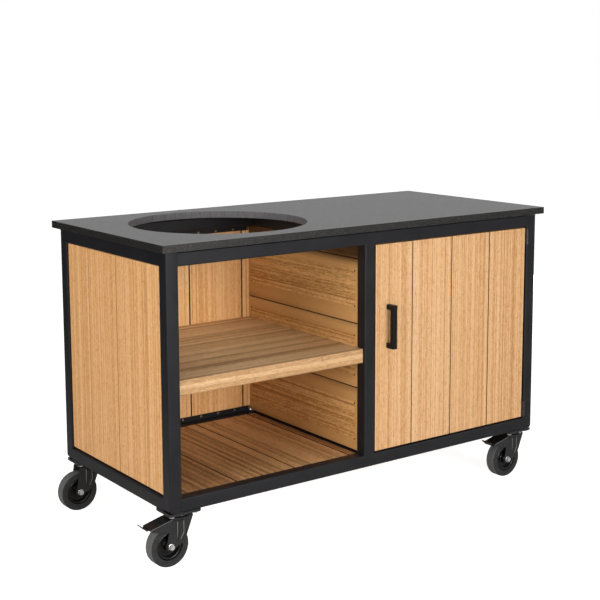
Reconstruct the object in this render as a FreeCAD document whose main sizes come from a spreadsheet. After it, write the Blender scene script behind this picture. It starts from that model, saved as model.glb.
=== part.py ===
import FreeCAD, Part
import os
import re
import Sketcher

# Grill table on four swivel casters: a stone worktop with a round cut-out over an open bay,
# and a bamboo cupboard beside it, both inside a welded square-tube frame.
# Lengths are millimetres. +X is right, +Y is back and +Z is up. The origin lies on the floor,
# under the middle of the whole outline as it stands with its casters trailing to the left.

SIZES = [
    ("frame_width", 1460, "outer width of the tube frame"),
    ("frame_depth", 660, "outer depth of the tube frame"),
    ("frame_height", 751, "tube frame from its underside to its top"),
    ("tube", 40, "side of the square tube"),
    ("tube_wall", 2, "wall of the square tube"),
    ("foot_plug", 15, "solid end at the foot of a corner post"),
    ("foot_round", 12, "rounding of a corner post's foot"),
    ("pad_height", 4, "rubber pad between frame and worktop"),
    ("pad_length", 60, "rubber pad along its rail"),
    ("pad_width", 30, "rubber pad across its rail"),
    ("slab", 22, "thickness of the worktop"),
    ("side_overhang", 20, "worktop past the frame at each side"),
    ("front_overhang", 20, "worktop past the frame at the front"),
    ("rear_overhang", 20, "worktop past the frame at the back"),
    ("slab_corner", 2, "rounding of the worktop's corners in plan"),
    ("slab_ease", 2, "eased top and bottom edges of the worktop"),
    ("cutout_radius", 280, "radius of the round cut-out"),
    ("cutout_ease", 1, "eased edges of the cut-out"),
    ("cutout_margin", 103, "cut-out's edge from the frame's left face"),
    ("panel", 10, "thickness of the side and back boards"),
    ("side_recess", 6, "side boards behind the frame's side face"),
    ("back_recess", 2, "back boards behind the frame's rear face"),
    ("panel_rise", 6, "bottom edge of the boards above the bottom rail"),
    ("panel_drop", 2, "top edge of the boards below the top rail"),
    ("panel_margin", 2, "boards to the posts beside them"),
    ("side_first", 84, "width of the front side board"),
    ("side_board", 177, "width of a side board"),
    ("side_gap", 1, "joint between side boards"),
    ("back_board", 210, "width of a back board"),
    ("back_gap", 4, "joint between back boards"),
    ("divider_board", 204, "height of a divider board"),
    ("divider_gap", 2.5, "joint between divider boards"),
    ("divider", 18, "thickness of the divider"),
    ("divider_recess", 2, "divider behind the middle post's left face"),
    ("divider_margin", 1, "divider to the front post and the back boards"),
    ("floor_board", 211, "width of a floor board"),
    ("floor_gap", 2, "joint between floor boards"),
    ("floor", 18, "thickness of the floor boards"),
    ("floor_sink", 1, "floor below the top of the bottom rails"),
    ("floor_margin", 1, "floor boards to the rails beside them"),
    ("narrowest_board", 25, "narrowest board that is laid by itself"),
    ("angle_leg", 20, "leg of the angle strip that carries a panel"),
    ("angle_wall", 2, "wall of the angle strips"),
    ("bearer_leg", 14, "upright leg of the angle under the floor"),
    ("shelf", 45, "thickness of the shelf"),
    ("shelf_level", 338.5, "underside of the shelf above the frame's underside"),
    ("shelf_front", 9, "shelf behind the frame's front face"),
    ("shelf_play", 0.5, "shelf to the post or divider at each end"),
    ("shelf_ease", 1.5, "eased long edges of the shelf"),
    ("pin_radius", 3, "shelf pin"),
    ("pin_depth", 12, "shelf pin inside its hole"),
    ("pin_reach", 14, "shelf pin under the shelf"),
    ("pin_edge", 15, "column of pin holes from the divider's edge"),
    ("pin_level_lowest", 82, "pin holes above the frame's underside"),
    ("pin_level_low", 199, "the next pin holes"),
    ("pin_level_under", 291, "the pin holes under the shelf"),
    ("pin_level_over", 418, "the pin holes over the shelf"),
    ("pin_level_high", 512, "the next pin holes"),
    ("pin_level_highest", 624, "the topmost pin holes"),
    ("door_recess", 4, "door behind the frame's front face"),
    ("door_gap", 4.5, "door to the middle post"),
    ("door_rise", 5, "door above the bottom rail"),
    ("door_drop", 3, "door below the top rail"),
    ("door", 16, "thickness of the door boards"),
    ("door_first", 152.5, "width of the door board beside the handle"),
    ("door_board", 168, "width of a door board"),
    ("door_joint", 1.5, "joint between door boards"),
    ("batten", 16, "thickness of the battens behind the door"),
    ("batten_height", 60, "height of a batten"),
    ("batten_inset", 36, "batten from the door's side edge"),
    ("batten_level", 65, "batten from the door's top or bottom edge"),
    ("batten_bite", 10, "batten screws inside the door boards"),
    ("handle_bar", 16, "side of the handle's square bar"),
    ("handle_length", 140, "height of the handle"),
    ("handle_reach", 34, "handle in front of the door"),
    ("handle_inset", 53.5, "handle's middle from the door's left edge"),
    ("handle_drop", 263, "handle's middle below the door's top edge"),
    ("handle_screw", 2.5, "radius of the screws that hold the handle"),
    ("handle_thread", 20, "handle screw inside the handle"),
    ("handle_screw_cap", 3, "head height of the handle screws"),
    ("handle_screw_head", 5, "head radius of the handle screws"),
    ("hinge_height", 50, "height of a hinge"),
    ("hinge_inset", 5, "hinge from the door's top or bottom edge"),
    ("hinge_leaf", 1.5, "thickness of a hinge leaf"),
    ("leaf_gap", 1.5, "between the leaves of a closed hinge"),
    ("leaf_margin", 1, "hinge leaf short of the door's rear face"),
    ("knuckle_wall", 2, "wall of a knuckle round its pin"),
    ("hinge_pin", 2, "radius of the hinge pin"),
    ("hinge_pin_lip", 1, "hinge pin's head past the pin"),
    ("hinge_pin_cap", 1.5, "head height of the hinge pin"),
    ("catch_drop", 133, "middle of the catch below the door's top edge"),
    ("catch_height", 44, "height of the catch"),
    ("catch_width", 18, "width of the catch"),
    ("catch_depth", 20, "depth of the catch"),
    ("catch_side", 4, "catch's wall beside the magnet"),
    ("catch_end", 7, "catch's wall over and under the magnet"),
    ("catch_back", 6, "catch's wall behind the magnet"),
    ("strike", 2, "thickness of the strike plate"),
    ("strike_margin", 2, "strike plate from the door's left edge"),
    ("screw_radius", 2, "shank of the small screws"),
    ("screw_core", 1.5, "radius of the holes that wood screws cut their thread in"),
    ("screw_bite", 6, "small screws inside a board or a tube"),
    ("screw_head", 4, "head radius of the small screws"),
    ("screw_cap", 1.5, "head height of the small screws"),
    ("screw_pitch", 70, "about this far from one panel screw to the next"),
    ("running", 0.05, "play of a pin in its bore"),
    ("side_play", 0.3, "play between faces that turn past each other"),
    ("plate_length", 105, "caster plate along the front"),
    ("plate_width", 85, "caster plate along the side"),
    ("plate", 8, "thickness of the caster plate"),
    ("plate_corner", 7, "rounded corners of the caster plate"),
    ("bolt_edge", 12.5, "caster bolt from the plate's edges"),
    ("bolt_radius", 4, "caster bolt"),
    ("bolt_lip", 3.5, "corners of the bolt's head past its shank"),
    ("bolt_cap", 5, "height of the caster bolt's head"),
    ("bolt_grip", 9, "caster bolt above its plate"),
    ("gusset", 5, "thickness of the corner gusset"),
    ("gusset_margin", 4, "gusset past the caster plate's inner edges"),
    ("race_bore", 22, "inner radius of the race and of the ball ring"),
    ("race_wall", 12, "wall of the pressed race"),
    ("race", 3, "height of the pressed race"),
    ("ring_wall", 8, "wall of the ball ring"),
    ("ring", 7.7, "height of the ball ring"),
    ("kingpin", 6, "radius of the kingpin"),
    ("kingpin_lip", 4, "corners of the kingpin's head past the pin"),
    ("kingpin_cap", 5, "height of the kingpin's head"),
    ("trail", 40, "wheel axle behind the swivel axis"),
    ("wheel_radius", 62.5, "wheel"),
    ("wheel_room", 18, "tyre below the fork's crown"),
    ("tyre", 20, "tyre outside the wheel's core"),
    ("tyre_width", 36, "width of the tyre"),
    ("tyre_round", 6, "rounding of the tyre's shoulders"),
    ("rim", 8.5, "rim of the wheel's core"),
    ("rim_step", 3, "rim inside the tyre's side"),
    ("web", 12, "thickness of the core's web"),
    ("hub_wall", 9, "hub round the axle"),
    ("axle_radius", 6, "radius of the wheel axle"),
    ("axle_lip", 4.5, "corners of the axle's head and nut past the axle"),
    ("axle_cap", 6, "height of the axle's head and nut"),
    ("axle_end", 3, "axle past its nut"),
    ("fork_side", 2.5, "tyre to the fork's cheek at each side"),
    ("fork", 3, "thickness of the fork"),
    ("crown_lip", 3, "fork's crown past the ball ring"),
    ("fork_back", 38, "fork behind the swivel axis at the crown"),
    ("fork_front", 36, "fork ahead of the swivel axis at the crown"),
    ("fork_knee", 14, "fork ahead of the swivel axis at its knee"),
    ("fork_knee_drop", 53, "fork's knee below the crown"),
    ("fork_heel_drop", 76, "fork's heel, under the swivel axis, below the crown"),
    ("fork_end", 7, "fork's end round the axle"),
    ("fork_foot", 5.5, "heel's line meets the fork's end ahead of the axle"),
    ("fork_foot_drop", 11.7, "heel's line meets the fork's end below the axle"),
    ("pedal", 2, "thickness of the pedal's sheet"),
    ("pedal_drop", 0.5, "pedal's cover below the fork's crown at its start"),
    ("pedal_start", 3, "pedal's cover begins behind the fork"),
    ("pedal_cover", 63, "length of the pedal's cover"),
    ("pedal_fall", 15.5, "pedal's cover falls from start to end"),
    ("pedal_lip", 6, "pedal's end wall under its cover"),
    ("pedal_skirt", 37, "lowest corner of the pedal's cheek under the cover's start"),
    ("pedal_skirt_back", 8, "lowest corner of the pedal's cheek behind the cover's start"),
    ("pedal_pin", 4, "radius of the pedal's pin"),
    ("pedal_pin_back", 30, "pedal's pin behind the swivel axis"),
    ("pedal_pin_lip", 2, "pedal pin's heads past the pin"),
    ("pedal_pin_cap", 2, "height of the pedal pin's heads"),
    ("pedal_eye", 4, "pedal's eye round its pin"),
    ("pedal_eye_gap", 1, "pedal's eye below the fork's crown"),
    ("toe_flat", 9, "flat part of the toe behind the cover"),
    ("toe_slope", 17, "part of the toe that turns up"),
    ("toe_rise", 13, "tip of the toe above its flat part"),
    ("toe_width", 24, "width of the pedal's toe"),
    ("shoe_back", 9, "brake shoe behind the cover's start"),
    ("shoe_length", 12, "length of the brake shoe"),
    ("shoe_width", 24, "width of the brake shoe"),
    ("shoe_gap", 3, "brake shoe above the top of the tyre"),
]

NUMBERS = {alias: number for alias, number, _ in SIZES}

doc = FreeCAD.newDocument("GrillTable")
sheet = doc.addObject("Spreadsheet::Sheet", "Sizes")
for row, (alias, number, note) in enumerate(SIZES, start=1):
    sheet.set("A%d" % row, note)
    sheet.set("B%d" % row, str(number))
    sheet.setAlias("B%d" % row, alias)
doc.recompute()

# Every node that is written, by its name
nodes = {}


def full(text):
    """Write the sheet's name before each of its sizes, as an expression needs it."""
    return re.sub(r"[a-z]\w*", lambda word: ("Sizes." if word[0] in NUMBERS else "") + word[0], str(text))


def value(text):
    return float(sheet.evalExpression(full(text)))


# Caster levels, counted down from the frame's underside, and the reach of its brake pedal
CROWN = "(plate + race + ring + side_play)"
CROWN_UNDER = "(plate + race + ring + side_play + fork)"
CASTER_HEIGHT = "(%s + wheel_room + 2 * wheel_radius)" % CROWN_UNDER
PEDAL_START = "(fork_back + pedal_start)"
PEDAL_END = "(fork_back + pedal_start + pedal_cover)"
PEDAL_REACH = "(%s + toe_flat + toe_slope)" % PEDAL_END

# Where the frame's left front bottom corner lies in the part's own frame
WHEEL_REACH = "(trail + wheel_radius)"
LEFT_REACH = "min(plate_length / 2 - max(%s; %s); 0 - side_overhang)" % (PEDAL_REACH, WHEEL_REACH)
RIGHT_REACH = "frame_width + side_overhang"
FRONT_REACH = "min(door_recess - handle_reach; 0 - front_overhang)"
REAR_REACH = "frame_depth + rear_overhang"
CORNER = (
    "0 - (%s + %s) / 2" % (RIGHT_REACH, LEFT_REACH),
    "0 - (%s + %s) / 2" % (REAR_REACH, FRONT_REACH),
    CASTER_HEIGHT,
)


def bind(thing, values):
    for path, text in values.items():
        thing.setExpression(path, full(text))


def move(thing, spot):
    x, y, z = spot
    bind(thing, {"Placement.Base.x": x, "Placement.Base.y": y, "Placement.Base.z": z})
    return thing


def box(name, spot, extent):
    """A block from its lowest corner."""
    block = doc.addObject("Part::Box", name)
    bind(block, {"Length": extent[0], "Width": extent[1], "Height": extent[2]})
    return move(block, spot)


TURNS = {
    "x": FreeCAD.Rotation(FreeCAD.Vector(0, 1, 0), 90),
    "y": FreeCAD.Rotation(FreeCAD.Vector(1, 0, 0), -90),
    "z": FreeCAD.Rotation(),
}


def rod(name, spot, radius, length, axis="z"):
    """A round bar from its end, along +X, +Y or +Z."""
    bar = doc.addObject("Part::Cylinder", name)
    bind(bar, {"Radius": radius, "Height": length})
    bar.Placement = FreeCAD.Placement(FreeCAD.Vector(), TURNS[axis])
    return move(bar, spot)


def hexagon(name, spot, radius, length, axis="z"):
    """A six-sided bar from its end, along +X, +Y or +Z, by its corner radius."""
    bar = doc.addObject("Part::Prism", name)
    bar.Polygon = 6
    bind(bar, {"Circumradius": radius, "Height": length})
    bar.Placement = FreeCAD.Placement(FreeCAD.Vector(), TURNS[axis])
    return move(bar, spot)


def fuse(name, pieces):
    whole = doc.addObject("Part::MultiFuse", name)
    whole.Shapes = pieces
    return whole


def cut(name, base, tools):
    """Take tools out of a base."""
    tool = tools[0]
    if len(tools) > 1:
        tool = doc.addObject("Part::Compound", name + "_tools")
        tool.Links = tools
    rest = doc.addObject("Part::Cut", name)
    rest.Base = base
    rest.Tool = tool
    return rest


def group(name, pieces):
    """Separate pieces that share a node."""
    several = doc.addObject("Part::Compound", name)
    several.Links = pieces
    return several


def node(name, thing, spot=(0, 0, 0)):
    """Name a sub-part and set its local origin at a place given from the frame's corner."""
    thing.Label = name
    move(thing, ["%s + %s" % pair for pair in zip(CORNER, spot)])
    nodes[name] = thing
    return thing


def plane(body, role):
    for feature in body.Origin.OriginFeatures:
        if feature.Role == role:
            return feature
    raise ValueError(role)


def sketch_on(body, role):
    sketch = body.newObject("Sketcher::SketchObject", body.Name + "_sketch")
    sketch.AttachmentSupport = [(plane(body, role), "")]
    sketch.MapMode = "FlatFace"
    return sketch


def hold(sketch, kind, name, text, *where):
    """Add a dimension to a sketch and bind it to an expression."""
    row = sketch.addConstraint(Sketcher.Constraint(kind, *where, value(text)))
    sketch.renameConstraint(row, name)
    sketch.setExpression("Constraints." + name, full(text))


def hold_point(sketch, edge, end, x, y):
    """Hold one point of a sketch at a place from its origin."""
    for kind, axis, text in (("DistanceX", -2, x), ("DistanceY", -1, y)):
        if text == "0":
            sketch.addConstraint(Sketcher.Constraint("PointOnObject", edge, end, axis))
        else:
            hold(sketch, kind, "%s_%d" % (kind, edge), text, -1, 1, edge, end)


def outline(sketch, points):
    """A closed run of straight lines."""
    first = sketch.GeometryCount
    corners = [FreeCAD.Vector(value(x), value(y), 0) for x, y in points]
    for start, end in zip(corners, corners[1:] + corners[:1]):
        sketch.addGeometry(Part.LineSegment(start, end), False)
    for i in range(len(points)):
        after = first + (i + 1) % len(points)
        sketch.addConstraint(Sketcher.Constraint("Coincident", first + i, 2, after, 1))
    for i, (x, y) in enumerate(points):
        hold_point(sketch, first + i, 1, x, y)


def circle(sketch, x, y, radius):
    centre = FreeCAD.Vector(value(x), value(y), 0)
    edge = sketch.addGeometry(Part.Circle(centre, FreeCAD.Vector(0, 0, 1), value(radius)), False)
    hold_point(sketch, edge, 3, x, y)
    hold(sketch, "Radius", "Radius_%d" % edge, radius, edge)


def padded(name, role, points, length, middle=False):
    """A body with one outline, padded."""
    body = doc.addObject("PartDesign::Body", name)
    sketch = sketch_on(body, role)
    outline(sketch, points)
    solid = body.newObject("PartDesign::Pad", name + "_pad")
    solid.Profile = sketch
    solid.Midplane = middle
    bind(solid, {"Length": length})
    body.Tip = solid
    doc.recompute()
    return body


def revolved(name, points):
    """A body turned about its Y axis, from points given as radius and width."""
    body = doc.addObject("PartDesign::Body", name)
    sketch = sketch_on(body, "XY_Plane")
    outline(sketch, points)
    turned = body.newObject("PartDesign::Revolution", name + "_turned")
    turned.Profile = sketch
    turned.ReferenceAxis = (sketch, ["V_Axis"])
    turned.Angle = 360
    body.Tip = turned
    doc.recompute()
    return body


def dress(body, kind, radius, picks):
    """Round or chamfer the edges that a test picks from the body's last feature."""
    base = body.Tip
    edges = ["Edge%d" % (i + 1) for i, edge in enumerate(base.Shape.Edges) if picks(edge)]
    feature = body.newObject("PartDesign::" + kind, body.Name + "_" + kind.lower())
    feature.Base = (base, edges)
    bind(feature, {"Radius" if kind == "Fillet" else "Size": radius})
    body.Tip = feature
    doc.recompute()


def runs_along(edge, axis):
    """True for a straight edge that runs along one axis."""
    span = (edge.BoundBox.XLength, edge.BoundBox.YLength, edge.BoundBox.ZLength)
    return all(length < 1e-6 for i, length in enumerate(span) if i != axis) and span[axis] > 1e-6


def near(a, b):
    return abs(a - b) < 1e-4


def lay(start, end, board, gap, first=None):
    """Boards laid from start to end: the first edge and the width of each."""
    first = first or board
    ahead = value("%s + %s + %s" % (start, first, gap))
    rest = value(end) - ahead
    pitch = value("%s + %s" % (board, gap))
    count = 1 + int((rest + value(gap)) // pitch)
    left_over = rest - (count - 1) * pitch
    if left_over > value("narrowest_board"):
        count += 1
    rows = [(start, first)]
    for i in range(count - 1):
        rows.append(("%s + %s + %s + %d * (%s + %s)" % (start, first, gap, i, board, gap), board))
    edge = rows[-1][0]
    rows[-1] = (edge, "%s - (%s)" % (end, edge))
    return rows


def spread(edge, width):
    """Places of the screws across one board."""
    count = max(1, round(value(width) / value("screw_pitch")))
    return ["%s + (%s) * %d / %d" % (edge, width, 2 * i + 1, 2 * count) for i in range(count)]


# Levels and faces that several pieces share, from the frame's left front bottom corner

TOP = "(frame_height - tube)"
INNER_RIGHT = "(frame_width - tube)"
INNER_REAR = "(frame_depth - tube)"
MIDDLE_LEFT = "(frame_width / 2 - tube / 2)"
MIDDLE_RIGHT = "(frame_width / 2 + tube / 2)"
DIVIDER_LEFT = "(frame_width / 2 - tube / 2 + divider_recess)"
DIVIDER_RIGHT = "(frame_width / 2 - tube / 2 + divider_recess + divider)"
REAR_POST_RIGHT = "(frame_width / 2 - tube / 2 + divider_recess + divider + tube)"
DIVIDER_REAR = "(frame_depth - back_recess - panel - divider_margin)"
SIDE_INNER = "(side_recess + panel)"
BACK_INNER = "(frame_depth - back_recess - panel)"
PANEL_LOW = "(tube + panel_rise)"
PANEL_HIGH = "(frame_height - tube - panel_drop)"
FLOOR_LOW = "(tube - floor_sink - floor)"
PIN_LEVEL = "(shelf_level - pin_radius)"
HINGE_GAP = "(2 * hinge_leaf + leaf_gap)"
DOOR_LEFT = "(frame_width / 2 + tube / 2 + door_gap)"
DOOR_RIGHT = "(frame_width - tube - %s)" % HINGE_GAP
DOOR_LOW = "(tube + door_rise)"
DOOR_HIGH = "(frame_height - tube - door_drop)"
DOOR_BACK = "(door_recess + door)"
KNUCKLE = "(hinge_pin + knuckle_wall)"
HINGE_X = "(frame_width - tube - %s / 2)" % HINGE_GAP
HINGE_Y = "(0 - %s)" % KNUCKLE
HINGES = [
    ("low", DOOR_LOW + " + hinge_inset"),
    ("high", DOOR_HIGH + " - hinge_inset - hinge_height"),
]
BATTENS = [DOOR_LOW + " + batten_level", DOOR_HIGH + " - batten_level - batten_height"]
HANDLE_MIDDLE = "(frame_height - tube - door_drop - handle_drop)"
HANDLE_SCREWS = [
    HANDLE_MIDDLE + " - handle_length / 2 + handle_bar / 2",
    HANDLE_MIDDLE + " + handle_length / 2 - handle_bar / 2",
]
PIN_LEVELS = [
    "pin_level_lowest",
    "pin_level_low",
    "pin_level_under",
    PIN_LEVEL,
    "pin_level_over",
    "pin_level_high",
    "pin_level_highest",
]

# Caster places: name, swivel axis from the frame's corner, and whether it has a brake
NEAR_X = "plate_length / 2"
FAR_X = "frame_width - plate_length / 2"
NEAR_Y = "plate_width / 2"
FAR_Y = "frame_depth - plate_width / 2"
CASTERS = [
    ("front_left", NEAR_X, NEAR_Y, True),
    ("front_right", FAR_X, NEAR_Y, True),
    ("rear_left", NEAR_X, FAR_Y, False),
    ("rear_right", FAR_X, FAR_Y, False),
]


def bolt_places():
    """Where the caster bolts pass, four round each swivel axis."""
    places = []
    for _, x, y, _ in CASTERS:
        for side in ("-", "+"):
            for end in ("-", "+"):
                across = "%s %s (plate_length / 2 - bolt_edge)" % (x, side)
                back = "%s %s (plate_width / 2 - bolt_edge)" % (y, end)
                places.append((across, back))
    return places


def bolt_holes(name):
    """Threaded holes for all the caster bolts, as one tool."""
    holes = []
    for i, (x, y) in enumerate(bolt_places()):
        spot = (x, y, "0 - 2 * plate")
        holes.append(rod("%s_%d" % (name, i), spot, "bolt_radius + running", "3 * plate + bolt_grip"))
    return group(name, holes)


# Screws: a place is where the head seats, the axis, and the way the shank points

def stretch(name, place, radius, start, length):
    """A round stretch of a screw's line, from a distance past the seat of its head."""
    spot, axis, way = place
    number = "xyz".index(axis)
    end = list(spot)
    if way == "+":
        end[number] = "%s + (%s)" % (spot[number], start)
    else:
        end[number] = "%s - (%s) - (%s)" % (spot[number], start, length)
    return rod(name, end, radius, length, axis)


def screw(name, place, length):
    return fuse(name, [
        stretch(name + "_shank", place, "screw_radius", "0", length),
        stretch(name + "_head", place, "screw_head", "0 - screw_cap", "screw_cap"),
    ])


def screw_holes(name, places, radius, length="angle_wall + panel"):
    """Holes in what the screws pass or bite into, from just before the seat of their heads."""
    holes = []
    for i, place in enumerate(places):
        holes.append(stretch("%s_%d" % (name, i), place, radius, "0 - screw_cap", "screw_cap + " + length))
    return holes


CLEAR = "screw_radius + running"


# Welded frame

def square_tube(name, spot, length, axis):
    """A length of square tube, open at both ends."""
    extent = ["tube"] * 3
    extent[axis] = length
    inside = ["tube - 2 * tube_wall"] * 3
    inside[axis] = "%s + 2 * tube_wall" % length
    start = ["%s + tube_wall" % place for place in spot]
    start[axis] = "%s - tube_wall" % spot[axis]
    return cut(name, box(name + "_outside", spot, extent), [box(name + "_inside", start, inside)])


def corner_post(name, right, rear):
    """A corner post: hollow above a solid foot whose outer edges are rounded."""
    spot = (INNER_RIGHT if right else "0", INNER_REAR if rear else "0", "0")
    corners = [("0", "0"), ("tube", "0"), ("tube", "tube"), ("0", "tube")]
    body = padded(name + "_body", "XY_Plane", corners, "frame_height")
    outer_x = value("tube") if right else 0
    outer_y = value("tube")

    def foot(edge):
        centre = edge.BoundBox.Center
        side = runs_along(edge, 1) and near(centre.x, outer_x)
        back = rear and runs_along(edge, 0) and near(centre.y, outer_y)
        return near(centre.z, 0) and (side or back)

    dress(body, "Fillet", "foot_round", foot)
    hollow = box(
        name + "_hollow",
        ("tube_wall", "tube_wall", "foot_plug"),
        ("tube - 2 * tube_wall", "tube - 2 * tube_wall", "frame_height"),
    )
    tools = [hollow, bolt_holes(name + "_bolts")]
    move(tools[1], ["0 - %s" % place for place in spot])
    if not right:
        for i, level in enumerate(PIN_LEVELS):
            start = ("tube - tube_wall * 2", "tube / 2", level)
            tools.append(rod("%s_pin_%d" % (name, i), start, "pin_radius + running", "tube", "x"))
    if right and not rear:
        places = [(("0", y, z), "x", "+") for y, z in hinge_screw_places()]
        tools += screw_holes(name + "_screw", places, "screw_radius + running")
    node(name, cut(name, body, tools), spot)


def frame():
    for front_or_rear in ("front", "rear"):
        for left_or_right in ("left", "right"):
            name = "post_%s_%s" % (front_or_rear, left_or_right)
            corner_post(name, left_or_right == "right", front_or_rear == "rear")
    height = "%s - tube" % TOP
    middle_posts = [
        ("middle_post_front", MIDDLE_LEFT, "0"),
        ("middle_post_rear", DIVIDER_RIGHT, INNER_REAR),
    ]
    for name, x, y in middle_posts:
        node(name, square_tube(name, ("0", "0", "0"), height, 2), (x, y, "tube"))
    for name, level in (("top_rails", TOP), ("bottom_rails", "0")):
        across = "%s - tube" % INNER_RIGHT
        along = "%s - tube" % INNER_REAR
        rails = [
            square_tube(name + "_front", ("tube", "0", level), across, 0),
            square_tube(name + "_rear", ("tube", INNER_REAR, level), across, 0),
            square_tube(name + "_left", ("0", "tube", level), along, 1),
            square_tube(name + "_right", (INNER_RIGHT, "tube", level), along, 1),
            square_tube(name + "_middle", (MIDDLE_LEFT, "tube", level), along, 1),
        ]
        whole = group(name, rails)
        if level == "0":
            whole = cut(name + "_drilled", whole, [bolt_holes(name + "_bolts")])
        node(name, whole)


def corner_gussets():
    """Plates welded inside the frame's lower corners, for the casters' inner bolts."""
    pieces = []
    length = "plate_length + gusset_margin - tube"
    width = "plate_width + gusset_margin - tube"
    for name, x, y in (
        ("front_left", "tube", "tube"),
        ("front_right", "%s - (%s)" % (INNER_RIGHT, length), "tube"),
        ("rear_left", "tube", "%s - (%s)" % (INNER_REAR, width)),
        ("rear_right", "%s - (%s)" % (INNER_RIGHT, length), "%s - (%s)" % (INNER_REAR, width)),
    ):
        pieces.append(box("gusset_" + name, (x, y, "0"), (length, width, "gusset")))
    plates = group("gusset_plates", pieces)
    node("corner_gussets", cut("corner_gussets", plates, [bolt_holes("gusset_bolts")]))


# Worktop

def worktop():
    """The stone slab with its round cut-out."""
    width = "frame_width + 2 * side_overhang"
    depth = "frame_depth + front_overhang + rear_overhang"
    corners = [("0", "0"), (width, "0"), (width, depth), ("0", depth)]
    body = padded("worktop", "XY_Plane", corners, "slab")
    dress(body, "Fillet", "slab_corner", lambda edge: runs_along(edge, 2))
    levels = (0, value("slab"))
    dress(body, "Chamfer", "slab_ease", lambda edge: any(near(edge.BoundBox.Center.z, z) for z in levels))
    hole = sketch_on(body, "XY_Plane")
    middle = ("side_overhang + cutout_margin + cutout_radius", "front_overhang + frame_depth / 2")
    circle(hole, *middle, "cutout_radius")
    before = body.Shape.Volume
    pocket = body.newObject("PartDesign::Pocket", "worktop_cutout")
    pocket.Profile = hole
    pocket.Type = "ThroughAll"
    pocket.Midplane = True
    body.Tip = pocket
    doc.recompute()
    if body.Shape.Volume >= before:
        raise RuntimeError("the cut-out took nothing from the worktop")
    across = 2 * value("cutout_radius")
    dress(body, "Chamfer", "cutout_ease", lambda edge: near(edge.BoundBox.XLength, across))
    node("worktop", body, ("0 - side_overhang", "0 - front_overhang", "frame_height + pad_height"))


def worktop_pads():
    """Rubber pads between the rails and the slab."""
    long_way = ("pad_length", "pad_width", "pad_height")
    short_way = ("pad_width", "pad_length", "pad_height")
    pads = []
    for row, y in (("front", "tube / 2"), ("rear", INNER_REAR + " + tube / 2")):
        for i in (1, 3, 5):
            spot = ("frame_width * %d / 6 - pad_length / 2" % i, "%s - pad_width / 2" % y, "frame_height")
            pads.append(box("pad_%s_%d" % (row, i), spot, long_way))
    for row, x in (("left", "0"), ("middle", MIDDLE_LEFT), ("right", INNER_RIGHT)):
        spot = ("%s + tube / 2 - pad_width / 2" % x, "frame_depth / 2 - pad_length / 2", "frame_height")
        pads.append(box("pad_" + row, spot, short_way))
    node("worktop_pads", group("worktop_pads", pads))


# Boards, and where the screws through the angle strips bite into them

PANEL_SCREW = "(angle_wall + screw_bite)"
STRIP_LEVELS = ("tube + angle_leg * 2 / 3", TOP + " - angle_leg * 2 / 3")


def side_screw_places(rows, side):
    """Screws from inside the cabinet into the boards of one side."""
    if side == "left":
        x, way = SIDE_INNER + " + angle_wall", "-"
    else:
        x, way = "frame_width - %s - angle_wall" % SIDE_INNER, "+"
    return [((x, y, z), "x", way) for row in rows for y in spread(*row) for z in STRIP_LEVELS]


def back_screw_places(rows):
    """Screws into the back boards, but none where the divider and the rear middle post stand."""
    places = []
    for row in rows:
        for x in spread(*row):
            if value(x) > value(MIDDLE_LEFT + " - screw_head") and value(x) < value(REAR_POST_RIGHT):
                continue
            places += [((x, BACK_INNER + " - angle_wall", z), "y", "+") for z in STRIP_LEVELS]
    return places


def divider_screw_places(rows):
    spot = (DIVIDER_RIGHT + " + angle_wall", "tube + angle_leg * 2 / 3")
    return [(spot + (z,), "x", "-") for row in rows for z in spread(*row)]


def side_boards():
    rows = lay("tube + panel_margin", INNER_REAR + " - panel_margin", "side_board", "side_gap", "side_first")
    height = "%s - %s" % (PANEL_HIGH, PANEL_LOW)
    for side, x in (("left", "side_recess"), ("right", "frame_width - side_recess - panel")):
        name = "side_boards_" + side
        boards = []
        for i, (edge, width) in enumerate(rows):
            boards.append(box("%s_%d" % (name, i), (x, edge, PANEL_LOW), ("panel", width, height)))
        holes = screw_holes(name + "_hole", side_screw_places(rows, side), "screw_core", PANEL_SCREW)
        node(name, cut(name, group(name + "_plain", boards), holes))
    return rows


def back_boards():
    rows = []
    for start, end in (("tube", DIVIDER_RIGHT), (REAR_POST_RIGHT, INNER_RIGHT)):
        rows += lay(start + " + panel_margin", end + " - panel_margin", "back_board", "back_gap")
    height = "%s - %s" % (PANEL_HIGH, PANEL_LOW)
    boards = []
    for i, (edge, width) in enumerate(rows):
        boards.append(box("back_board_%d" % i, (edge, BACK_INNER, PANEL_LOW), (width, "panel", height)))
    holes = screw_holes("back_hole", back_screw_places(rows), "screw_core", PANEL_SCREW)
    node("back_boards", cut("back_boards", group("back_plain", boards), holes))
    return rows


def divider_boards():
    """Level boards between the open bay and the cupboard, bored for the shelf pins."""
    rows = lay(PANEL_LOW, PANEL_HIGH, "divider_board", "divider_gap")
    start = "tube + divider_margin"
    length = "%s - (%s)" % (DIVIDER_REAR, start)
    boards = []
    for i, (edge, width) in enumerate(rows):
        boards.append(box("divider_board_%d" % i, (DIVIDER_LEFT, start, edge), ("divider", length, width)))
    holes = screw_holes("divider_screw_hole", divider_screw_places(rows), "screw_core", PANEL_SCREW)
    for column, y in (("front", "tube + pin_edge"), ("rear", DIVIDER_REAR + " - pin_edge")):
        for i, level in enumerate(PIN_LEVELS):
            name = "divider_hole_%s_%d" % (column, i)
            spot = (DIVIDER_LEFT + " - pin_depth", y, level)
            holes.append(rod(name, spot, "pin_radius + running", "2 * pin_depth", "x"))
    node("divider_boards", cut("divider_boards", group("divider_plain", boards), holes))
    return rows


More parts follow.
